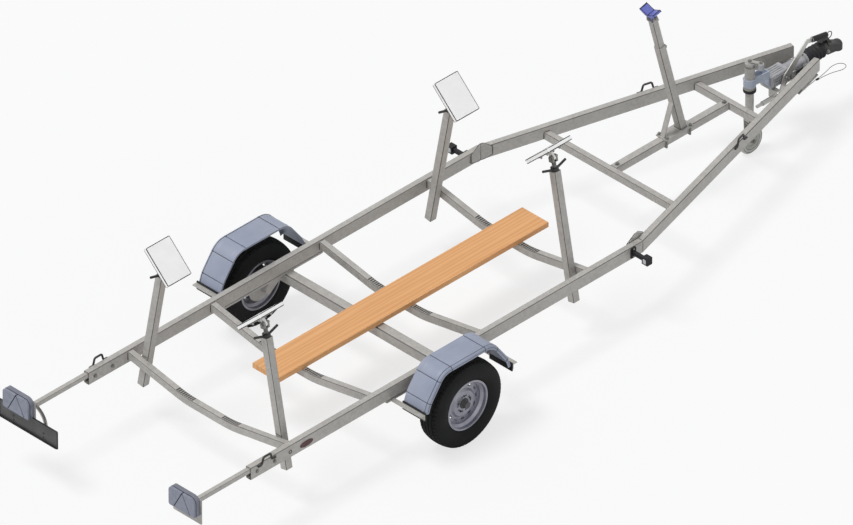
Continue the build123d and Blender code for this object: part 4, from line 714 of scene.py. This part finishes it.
guard = Sizes(inner=878.0, width=214.0, wall=4.0, roll=18.0, lip=32.0, centre=-21.0, stations=300,
              corners=((-408, 480), (-384, 552), (-241, 746), (241, 746), (384, 552), (408, 480)),
              radii=(250, 140, 140, 250),
              creases=((-384, 552), (-286, 685), (-158, 746), (158, 746), (286, 685), (384, 552)), creaseHalf=4.5,
              creaseDepth=2.4, ribs=(42.0, 172.0), ribHalf=5.0, ribRise=1.6, seam=1.9, seamSink=1.4,
              boltsAhead=(-444.6, 402.6), boltsAcross=(925.0, 1046.0), boltHeight=463.0, boltSize=8.0)


def guardParts(way):
    # the arch is straight runs and arcs; the section is carried along it, less the pressed creases that cross it,
    # and with two low ribs pressed up along its length; thin dark strips of painted shade also lie in each crease and
    # along the roll's two edges
    flat = bentPath(guard.corners, guard.radii, 16)
    step = np.concatenate([[0], np.cumsum(np.linalg.norm(np.diff(flat, axis=0), axis=1))])
    stations = np.linspace(0, step[-1], guard.stations)
    arch = np.stack([np.interp(stations, step, flat[:, k]) for k in (0, 1)], -1)
    gaps = [np.linalg.norm(arch - np.array(spot), axis=1) for spot in guard.creases]
    crease = np.max([np.clip(1 - gap / (2 * guard.creaseHalf), 0, 1) for gap in gaps], 0) * guard.creaseDepth
    flatWide = guard.width - guard.roll
    top = np.linspace(0.0, flatWide, 56)
    roll = arc(flatWide, -guard.roll, guard.roll, np.linspace(pi / 2, 0, 8))
    ribs = sum(np.clip(1.6 - np.abs(top - place) / guard.ribHalf * 1.6, 0, 1) for place in guard.ribs) * guard.ribRise
    outside = np.concatenate([[(0, -guard.lip / 2)], np.stack([top, ribs - guard.ribRise], -1), roll[1:],
                              [(guard.width - inset, -guard.lip + rise) for inset, rise in ((0, 3), (1, 0), (5, 0))]])
    inside = outside[:-1][::-1] + [0, -guard.wall]
    inside[:, 0] = np.clip(inside[:, 0], guard.wall, guard.width - guard.wall)
    inside[:, 1] = np.maximum(inside[:, 1], -guard.lip)
    section = np.concatenate([outside, inside])
    pressed = section[:, 1] > -guard.roll
    path = spots(ahead(guard.centre) + arch[:, 0], way * guard.inner, arch[:, 1])
    tangents = pathTangents(path)
    across = np.cross(tangents, yWay)
    points = path[:, None] + section[None, :, :1] * yWay * way
    points = points + (section[None, :, 1] - crease[:, None] * pressed[None])[..., None] * across[:, None]
    # thin dark strips of painted shade in each crease and along the start and outer edge of the roll
    shadeStrips = []
    for gap in gaps:
        station = np.argmin(gap)
        line = placed(outside[1:-1] - (0, guard.seamSink), path[station], yWay * way, across[station])
        shadeStrips.append(tube(line, guard.seam, tangents[station], 8))
    for y, z in ((flatWide, -guard.seamSink), (guard.width - guard.seamSink, -guard.roll)):
        shadeStrips.append(tube((path + way * y * yWay + z * across)[2:-2], guard.seam, yWay, 8))
    return [(points, skin(guard.stations, len(section)))], shadeStrips


for side, way in sides.items():
    shell, shadeStrips = guardParts(way)
    addPiece(f"guardShell_{side}", shell, "guardPanel", "frame", 30, [f"mudguard_{side}"])
    # the dark strips paint shade into the creases and along the roll
    addPiece(f"guardShadeStrips_{side}", shadeStrips, "softRubber", "frame", 60)
addBolts("guardBolts", [part for way in sides.values() for end, x in zip(bothWays, guard.boltsAhead)
                        for y in guard.boltsAcross
                        for part in boltHead((ahead(x), way * y, guard.boltHeight), (end, 0, 0), guard.boltSize)])
print("mudguards made")


# tail lamps and number board

lamp = Sizes(face=-2440.0, plate=-2382.0, y=794.0, z=632.0, wide=244.0, tall=149.0, lens=20.0, bevel=2.0,
             corners=(46.0, 2.0, 16.0, 26.0), gap=6.5, apex=6.0, feet=(-74.0, 83.0))


def lampOutline(inset=0.0):
    # rectangle with a quarter circle of its own radius at each corner, seen from behind, first corner top right
    wide, tall = lamp.wide / 2 - inset, lamp.tall / 2 - inset
    arcs = []
    for k, ((sx, sz), radius) in enumerate(zip(((1, 1), (1, -1), (-1, -1), (-1, 1)), lamp.corners)):
        radius = max(radius - inset, 0.6)
        arcs.append(arc(sx * (wide - radius), sz * (tall - radius), radius, pi / 2 * (1 - k - np.linspace(0, 1, 9))))
    return np.concatenate(arcs)


def cutLoop(loop, point, normal):
    # keeps the part of a convex outline on the side that the normal points away from
    side = (loop - point) @ normal
    after, sideAfter = np.roll(loop, -1, 0), np.roll(side, -1)
    share = np.where(side * sideAfter < 0, side / np.where(side == sideAfter, 1, side - sideAfter), 0)
    both = np.stack([loop, loop + share[:, None] * (after - loop)], 1).reshape(-1, 2)
    return both[np.stack([side <= 0, side * sideAfter < 0], 1).reshape(-1)]


def bevelled(loop, base, face, back, bevel):
    # an outline seen from behind, carried from the back plane to the face and drawn in by the bevel there
    middle = loop.mean(0)
    reach = np.linalg.norm(loop - middle, axis=1, keepdims=True)
    small = middle + (loop - middle) * (1 - bevel / reach)
    rows = ((loop, back), (loop, face + bevel * 0.6), (small, face))
    return np.stack([spots(x, base[0] - flat[:, 0], base[1] + flat[:, 1]) for flat, x in rows]), skin(3, len(loop))


# two lines from the apex to the feet split the lens into three panels, half a gap away from them
apex = np.array((lamp.apex, lamp.tall / 2))
leftLine, rightLine = (unit(np.array((foot, -lamp.tall / 2)) - apex) for foot in lamp.feet)
leftOut, rightOut = np.array((leftLine[1], -leftLine[0])), np.array((-rightLine[1], rightLine[0]))
outline = lampOutline(1.0)
middlePanel = outline
for out in (leftOut, rightOut):
    middlePanel = cutLoop(middlePanel, apex - out * lamp.gap / 2, out)
leftPanel, rightPanel = (cutLoop(outline, apex + out * lamp.gap / 2, -out) for out in (leftOut, rightOut))
for side, way in sides.items():
    base, face, body = (way * lamp.y, lamp.z), ahead(lamp.face), f"lamps_{side}"
    lensX = face + lamp.lens
    shell = bevelled(lampOutline(), base, lensX, ahead(lamp.plate), lamp.bevel)
    addPiece(f"lampShell_{side}", [shell], "lampPlastic", body, 30, [f"tail_lamp_{side}"])
    addPiece(f"lampLens_{side}", [bevelled(panel, base, face, lensX + 1, lamp.bevel)
                                  for panel in (leftPanel, middlePanel, rightPanel)], "lampLens", body, 30)
    backing = bevelled(lampOutline(3.0), base, face + 5, lensX + 1, 1.0)
    gasket = bevelled(lampOutline(-0.8), base, lensX - 2.0, lensX + 1.5, 0.6)
    addPiece(f"lampBack_{side}", [backing, gasket], "softRubber", body, 30)

board = Sizes(x=-2387.0, inner=442.0, wide=560.0, bottom=406.0, tall=146.0, lipDepth=14.0, lipThick=5.0, rim=6.0,
              rimRise=2.5, corner=8, boltsY=(866.0, 578.0), boltsZ=(474.0, 440.0), nutsX=-2378.0,
              nutsY=(572.0, 872.0), nutsZ=466.0)
boardX = ahead(board.x)
outer = roundedBox(board.wide, board.tall, board.corner)
inner = roundedBox(board.wide - 2 * board.rim, board.tall - 2 * board.rim, board.corner / 2)
front, back = boardX - board.rimRise, boardX + 0.5
rim = np.stack([spots(x, board.inner + board.wide / 2 + flat[:, 0], board.bottom + board.tall / 2 + flat[:, 1])
                for flat, x in ((outer, back), (outer, front), (inner, front), (inner, back))])
lip = prism([(0, 0), (board.lipDepth, 0), (board.lipDepth, board.lipThick), (0, board.lipThick)],
            (boardX, board.inner + 6, board.bottom + 8), -xWay, zWay, board.wide - 12)
addPiece("boardRim", [(rim, skin(4, len(outer), True)), lip], "softRubber", "lamps_left", 30)
boardBolts = [turned((boardX, y, z), -xWay, [(-0.5, 7), (2.4, 7), (4, 4.5)], 16)
              for y in board.boltsY for z in board.boltsZ]
for y in board.nutsY:
    boardBolts += boltHead((ahead(board.nutsX), y, board.nutsZ), xWay, 8.0, True)
addPiece("boardBolts", boardBolts, "blackSteel", "lamps_left", 30)
print("rear end made")


# marker lamps, lashing eyes, posts and pads

marker = Sizes(ahead=1845.0, reach=934.0, z=535.0, deep=52.0, wide=30.0, tall=36.0, corner=7, rise=2.0, footY=808,
               boltsUp=(-29, 29), boltSize=7.0)
lenses, feet = [], []
face = roundedBox(marker.wide, marker.tall, marker.corner)
for way in sides.values():
    for end in bothWays:
        x = ahead(marker.ahead) + end * marker.deep / 2
        rows = [spots(x + end * rise, way * marker.reach + face[:, 0] * share, marker.z + face[:, 1] * share)
                for share, rise in ((1.0, -0.5), (1.0, marker.rise * 0.6), (0.93, marker.rise))]
        lenses.append((np.stack(rows), skin(3, len(face))))
    for up in marker.boltsUp:
        feet += boltHead((ahead(marker.ahead), way * marker.footY, marker.z + up), (0, way, 0), marker.boltSize)
addPiece("markerLenses", lenses, "markerLens", "frame", 30)
addBolts("markerBolts", feet)

post = Sizes(ends={"rear": -1345.0, "front": 1392.0}, footY=687.0, footZ=304.0, length=1002.0, lean=10.65, out=100.0,
             padTilt=44.0, screw=15.7, root=12.9, pitch=7.0, thread=260.0, cheekHalf=25.0, slotHalf=8.3, lug=20.0,
             crown=30.0, crownThick=4.0, pin=6.9, pinHalf=29, weldHalf=27, weldsDown=(8, 66))
pad = Sizes(plateLong=150.0, plateWide=110.0, plateThick=5.0, under=45.0, boltX=58.0, boltY=40.0, long=220.0,
            wide=297.0, thick=30.0, inset=2.2, edge=3.2)


def leaning(way, lean):
    # the direction that is up, turned towards the middle by the lean
    return np.array((0, -way * sin(radians(lean)), cos(radians(lean))))


def screwParts(pivot, up):
    # radius along the screw is a trapezoid wave whose phase goes once round for each pitch, down to the root
    across = np.cross(up, xWay)
    along, turn = np.linspace(0, post.thread, int(post.thread / post.pitch * 10)), fullTurn(24)
    phase = np.mod(along[:, None] / post.pitch - turn[None] / (2 * pi), 1)
    ramp = np.clip((np.abs(phase - 0.5) - 0.16) / 0.1, 0, 1)
    radius = post.root + (post.screw - post.root) * (1 - ramp)
    spoke = np.cos(turn)[None, :, None] * xWay + np.sin(turn)[None, :, None] * across
    points = pivot - up * (post.crown - 1 + post.thread) + along[:, None, None] * up + radius[..., None] * spoke
    cheek = np.concatenate([[(-post.lug, -post.crown), (post.lug, -post.crown)],
                            arc(0, 0, post.lug, np.linspace(0, pi, 17))])
    parts = [(points, skin(len(along), 24))]
    parts += [prism(cheek, pivot + xWay * start, across, up, post.cheekHalf - post.slotHalf)
              for start in (-post.cheekHalf, post.slotHalf)]
    parts.append(prism(roundedBox(2 * post.cheekHalf, 2 * post.lug, 2), pivot - up * post.crown, xWay, across,
                       post.crownThick))
    parts.append(turned(pivot - xWay * post.pinHalf, xWay, [(0, post.pin), (2 * post.pinHalf, post.pin)], 20))
    for way in bothWays:
        parts += boltHead(pivot + xWay * way * post.cheekHalf, xWay * way, 12.0, way > 0)
    return parts


def padParts(pivot, normal):
    # a plate under the pad with four bolts, and weld fillets down to the lug
    across = np.cross(normal, xWay)
    back = pivot + normal * (pad.under - pad.plateThick)
    parts = [prism(roundedBox(pad.plateLong, pad.plateWide, 8), back, xWay, across, pad.plateThick + 0.3)]
    for sx in bothWays:
        for sy in bothWays:
            parts += boltHead(back + xWay * sx * pad.boltX + across * sy * pad.boltY, -normal, 9.0, True)
    for way in bothWays:
        for middle, run in ((across * way * 20, xWay * 8), (xWay * way * 9, across * 18)):
            parts.append(weldBead(back + middle - run, back + middle + run))
    return parts


def padEdging(pivot, normal):
    # a dark round edging pressed into the pad's lower and upper rims
    flat = roundedBox(pad.long - 2 * pad.inset, pad.wide - 2 * pad.inset, 5, 5)
    return [tube(placed(flat, pivot + normal * rise, xWay, np.cross(normal, xWay)), pad.edge, normal, 8, True)
            for rise in (pad.under + pad.inset, pad.under + pad.thick - pad.inset)]


for end, footX in post.ends.items():
    for side, way in sides.items():
        up, normal = leaning(way, post.lean), leaning(way, post.padTilt)
        pivot = np.array((ahead(footX), way * post.footY, post.footZ)) + up * (post.length + post.out)
        padBody, screwBody = f"pad_{end}_{side}", f"spindle_{end}_{side}"
        addPiece(f"padEdging_{end}_{side}", padEdging(pivot, normal), "softRubber", padBody, 60)
        addPiece(f"screw_{end}_{side}", screwParts(pivot, up), "boltZinc", screwBody, 30, [screwBody])
        addPiece(f"padPlate_{end}_{side}", padParts(pivot, normal), "galvanised", padBody, 30)

postWelds = []
for barX, facing in ((chassis.cradleAhead[0], 1), (chassis.cradleAhead[-1], -1)):
    x = ahead(barX) + facing * chassis.barHalf
    for way in sides.values():
        for z in (chassis.cradleTop - down for down in post.weldsDown):
            y = way * (post.footY - (z - post.footZ) * tan(radians(post.lean)))
            postWelds.append(weldBead((x, y - post.weldHalf, z), (x, y + post.weldHalf, z), 2.6))
addWelds("postWelds", postWelds)

eye = Sizes(ahead=-1648, legs=(-82, -50, 50, 82), y=800.5, z=574, weldHalf=9)
eyeWelds = []
for way in sides.values():
    for x in (ahead(eye.ahead + leg) for leg in eye.legs):
        eyeWelds.append(weldBead(*((x + end * eye.weldHalf, way * eye.y, eye.z) for end in bothWays), 2.4))
addWelds("eyeWelds", eyeWelds)

shoe = Sizes(bolts=(-480.0, -425.0, 342.0, 397.0), y=775, under=465.0, size=12.0)
addBolts("axleBolts", [part for way in sides.values() for x in shoe.bolts
                       for part in boltHead((ahead(x), way * shoe.y, shoe.under), -zWay, shoe.size, True)])
print("posts, pads and axle dressed")


# bow post

bow = Sizes(baseAhead=(2950.0, 3177.0), nutY=38.0, plateTop=551.0, nutSize=12.0, boltBottom=474.0, boltRise=68,
            boltRadius=6.0, footAhead=3121.0, footHalf=31, lean=15.3, post=803.0, slide=250.0, headRise=40.0,
            screwDown=45, screwOut=30, pinY=36)
bowUp = np.array((-sin(radians(bow.lean)), 0, cos(radians(bow.lean))))
bowAcross = np.array((bowUp[2], 0, -bowUp[0]))
bowFoot = np.array((ahead(bow.footAhead), 0, bow.plateTop))
bowPivot = bowFoot + bowUp * (bow.post + bow.slide + bow.headRise)
bowParts = []
for x in bow.baseAhead:
    for y in (-bow.nutY, bow.nutY):
        bowParts += boltHead((ahead(x), y, bow.plateTop), zWay, bow.nutSize, True)
        bowParts.append(turned((ahead(x), y, bow.boltBottom), zWay,
                               [(0, bow.boltRadius), (bow.boltRise, bow.boltRadius)], 14))
    bowParts.append(tube([(ahead(x), y, bow.boltBottom) for y in (-bow.nutY, bow.nutY)], bow.boltRadius, xWay, 14))
addBolts("bowClamps", bowParts)
halfFoot = bow.footHalf / cos(radians(bow.lean))
loop = [(bowFoot[0] + sx * halfFoot, sy * bow.footHalf, bow.plateTop)
        for sx, sy in ((-1, -1), (1, -1), (1, 1), (-1, 1))]
addWelds("bowWelds", [weldBead(start, end) for start, end in zip(loop, loop[1:] + loop[:1])])
screwSpot = bowFoot + bowUp * (bow.post - bow.screwDown) + bowAcross * bow.screwOut
addBolts("bowClampScrew", [turned(screwSpot, bowAcross, [(-1, 13), (12, 13), (12, 12)], 20)]
         + boltHead(screwSpot + bowAcross * 12, bowAcross, 12.0))
pinNuts = [part for way in bothWays
           for part in boltHead(bowPivot + yWay * way * bow.pinY, (0, way, 0), 14.0, way > 0)]
addBolts("bowPinNuts", pinNuts, "bow_slide")

block = Sizes(groove=34.0, armHalf=66.0, rise=36.0, tip=7.0, thick=12.0, half=35.0, edge=2.4, drawnIn=1.6)


def acrossBlock(spot, half):
    # a straight edge through the spot, half of it to each side
    return tube([spot - bowAcross * half, spot + bowAcross * half], block.edge, yWay, 10)


def blockEdging():
    # a round black edging along both ends of the block's V, over its two tips and across its two slopes
    tipZ = block.groove + block.rise - block.drawnIn
    outline = [(-block.armHalf - block.tip, tipZ - block.thick), (-block.armHalf, tipZ), (0, block.groove),
               (block.armHalf, tipZ), (block.armHalf + block.tip, tipZ - block.thick)]
    parts = []
    for end in bothWays:
        path = placed(outline, bowPivot + bowAcross * end * (block.half - block.edge), yWay, bowUp)
        parts.append(tube(bentPath(path, (4, 12, 4), 5), block.edge, bowAcross, 10))
    for way in bothWays:
        parts.append(acrossBlock(bowPivot + yWay * way * (block.armHalf - 1) + bowUp * (tipZ - 1), block.half))
        low = bowPivot + yWay * way + bowUp * (block.groove + 1.0)
        slope = unit(yWay * way * block.armHalf + bowUp * block.rise)
        parts += [acrossBlock(low + slope * place * (block.armHalf + 6), block.half - 2) for place in (0.0, 0.93)]
    return parts


addPiece("blockEdging", blockEdging(), "softRubber", "bow_block", 40)
print("bow post dressed")


# overrun coupling and brake lever

hitch = Sizes(armTip=4337.0, draw=516.0, bearingFront=4330.0, headRear=4500.0, plateBottom=457.0, leverX=4082.0,
              leverY=-69.0, leverZ=521.0)
bearingX = ahead(hitch.bearingFront)
bellows = Sizes(folds=5, crest=59.6, root=48.0, wall=4.0, steps=14)

# radius swings between root and crest as a rounded wave along the tube; the inner skin follows a wall inside
share = np.linspace(0, 1, bellows.folds * bellows.steps + 1)
wave = 0.5 - 0.5 * np.cos(2 * pi * share * bellows.folds)
radius = bellows.root + (bellows.crest - bellows.root) * wave**0.8
along = share * (hitch.headRear - hitch.bearingFront)
loop = np.concatenate([np.stack([along, radius], -1), np.stack([along, radius - bellows.wall], -1)[::-1]])
bellowsPiece = addPiece("bellowsFolds", [turned((bearingX, 0, hitch.draw), xWay, loop, 64, True)], "softRubber", None,
                        60, ["bellows"])
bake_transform(bellowsPiece)

# a rolled clamp band with rounded edges, as (along, over the radius)
band = Sizes(back=24, radius=45.2, loop=((0, -1), (0, 1), (1, 2), (7, 2), (8, 1), (8, -1)), boltBack=20, boltUp=47)
addBolts("bearingBand", [turned((bearingX - band.back, 0, hitch.draw), xWay,
                                [(along, band.radius + over) for along, over in band.loop], 56, True)]
         + boltHead((bearingX - band.boltBack, 0, hitch.draw + band.boltUp), zWay, 8.0))

# bolts under the hitch plate as (back from the arms' tip, y, size, with a nut), then the lever's pivot
plateBolts = [(back, y, 12.0, False) for back in (167.0, 47.0) for y in (-38, 38)]
plateBolts += [(back, way * (armInner(hitch.armTip - back) + 26), 14.0, True)
               for back in (70.0, 195.0) for way in sides.values()]
hitchBolts = [part for back, y, size, nut in plateBolts
              for part in boltHead((ahead(hitch.armTip - back), y, hitch.plateBottom), -zWay, size, nut)]
hitchBolts += boltHead((ahead(hitch.leverX), hitch.leverY - 16, hitch.leverZ), -yWay, 14.0, True)
for y in (-80, -38):
    hitchBolts += boltHead((ahead(hitch.armTip - 356), y, hitch.plateBottom), -zWay, 8.0, True)
addBolts("hitchBolts", hitchBolts)

grip = Sizes(elbow=(201.0, 197.0), end=(383.0, 165.0), length=150.0, ridge=20.4, root=19.2, ridges=16, past=12.0)
gripRun = unit((grip.end[0] - grip.elbow[0], 0, grip.end[1] - grip.elbow[1]))
gripStart = np.array((ahead(hitch.leverX) + grip.end[0], hitch.leverY, hitch.leverZ + grip.end[1]))
gripStart = gripStart + gripRun * (grip.past - grip.length)
share = np.linspace(0, 1, grip.ridges * 8 + 1)
swell = grip.root + (grip.ridge - grip.root) * np.clip(1.4 * np.sin(share * grip.ridges * pi) ** 2, 0, 1)
profile = np.concatenate([[(0, 12.0), (0, 17.0)], np.stack([2 + share * (grip.length - 6), swell], -1),
                          [(grip.length - 1, 17.5), (grip.length + 0.6, 12.0)]])
addPiece("leverGrip", [turned(gripStart, gripRun, profile, 40)], "softRubber", "handbrake", 40)

head = Sizes(neckBolt=4512.0, neckRadius=49.0, ringX=4572.0, ringZ=600.0, ringRadius=26.0, wire=3.2)
neckBolts = []
for way in bothWays:
    neckBolts += boltHead((ahead(head.neckBolt), way * head.neckRadius, hitch.draw), (0, way, 0), 12.0, way < 0)
addBolts("neckBolts", neckBolts, "coupling")
turn = fullTurn(48)
ringPath = spots(ahead(head.ringX) + head.ringRadius * np.cos(turn), 0, head.ringZ + head.ringRadius * np.sin(turn))
addPiece("safetyRing", [tube(ringPath, head.wire, yWay, closed=True)], "blackSteel", "coupling", 60)
print("coupling dressed")


# jockey wheel

jockey = Sizes(x=3794.0, tubeTop=742.0, crankTurn=-62.0, crankLength=78.0, crankRise=14, knobDrop=48.0, axleX=3804.0,
               axleZ=104.0, pivotZ=280.0, outer=40.0, clampY=44.0, clampZ=590.0, tyreHalf=23.0, rings=(90.0, 68.0),
               sleeveDrop=26, collarZ=515.0)
jockeyX, crankTop = ahead(jockey.x), jockey.tubeTop + jockey.crankRise
crankTurn = radians(jockey.crankTurn)
knob = (jockeyX + jockey.crankLength * cos(crankTurn), jockey.crankLength * sin(crankTurn))
share = np.linspace(0, 1, 57)
knobSide = np.stack([share * 44, 22.3 + 1.0 * np.sin(share * 7 * pi) ** 2], -1)
knobProfile = np.concatenate([[(-3, 10.0), (-3, 18.0)], knobSide, [(46, 20.0), (46, 10.0)]])
addPiece("crankGrip", [turned((*knob, crankTop - jockey.knobDrop), zWay, knobProfile, 40)], "zincCasting", "frame",
         40)
collar = [(-1, 43.0), (-1, 45.6), (6, 46.4), (16, 46.4), (23, 45.6), (23, 43.0)]
addPiece("collarBand", [turned((jockeyX, 0, jockey.collarZ), zWay, collar, closed=True)], "softRubber", "frame", 40)
sleeve = turned((jockeyX, 0, jockey.tubeTop - jockey.sleeveDrop), zWay,
                [(0, 35.0), (0, 37.0), (16, 37.0), (18, 35.5)], 40, True)
addBolts("crankTrim", boltHead((jockeyX, 0, crankTop + 8), zWay, 12.0) + boltHead((*knob, crankTop + 8), zWay, 10.0)
         + [sleeve])
addBolts("clampScrew", boltHead((jockeyX, jockey.clampY, jockey.clampZ), yWay, 12.0, True))
wheelRings = [turned((ahead(jockey.axleX), 0, jockey.axleZ), yWay,
                     [(way * (jockey.tyreHalf + rise), radius + wider)
                      for rise, wider in ((-1, -1.8), (0.4, -1.3), (0.4, 1.3), (-1, 1.8))], 56, True)
              for way in bothWays for radius in jockey.rings]
addPiece("jockeyRings", wheelRings, "darkSteel", "jockey_wheel", 30)
for name, body, x, z in (("legNuts", "jockey_leg", jockey.x, jockey.pivotZ),
                         ("forkNuts", "jockey_fork", jockey.axleX, jockey.axleZ)):
    addBolts(name, [part for way in bothWays
                    for part in boltHead((ahead(x), way * jockey.outer, z), (0, way, 0), 12.0, way > 0)], body)
print("jockey wheel dressed")


# breakaway cable, whose points are measured from the arms' tip

cableRoute = [
    (-237, -150, 457), (-237, -150, 432), (-215, -152, 412), (-172, -156, 411), (-137, -146, 411), (-97, -137, 411),
    (-60, -132, 410.5), (-25, -125.5, 410), (34, -117, 408), (92, -105, 406), (134, -92, 404), (174, -81, 403),
    (211, -81, 402), (244, -88, 401), (265, -110, 400), (265, -138, 400), (242, -157, 401), (201, -161, 402),
    (156, -147, 404), (115, -138, 406), (76, -134, 407), (34, -131.5, 408.5), (-3, -131, 409.5),
]
route = np.array(cableRoute, float) * 0.001 + (ahead(hitch.armTip) * 0.001, 0, 0)
cableData = bpy.data.curves.new("breakawayCable", "CURVE")
cableData.dimensions = "3D"
spline = cableData.splines.new("NURBS")
spline.points.add(len(route) - 1)
spline.points.foreach_set("co", np.concatenate([route, np.ones((len(route), 1))], 1).ravel())
spline.order_u = 3
spline.use_endpoint_u = True
cableData.resolution_u = 8
cableData.bevel_depth = 0.002
cableData.bevel_resolution = 3
cableData.use_fill_caps = True
cableData.materials.append(materials["softRubber"])
cablePiece = link(bpy.data.objects.new("breakawayCable", cableData))
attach(cablePiece, "frame")
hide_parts("breakaway_cable")
print("cable laid")
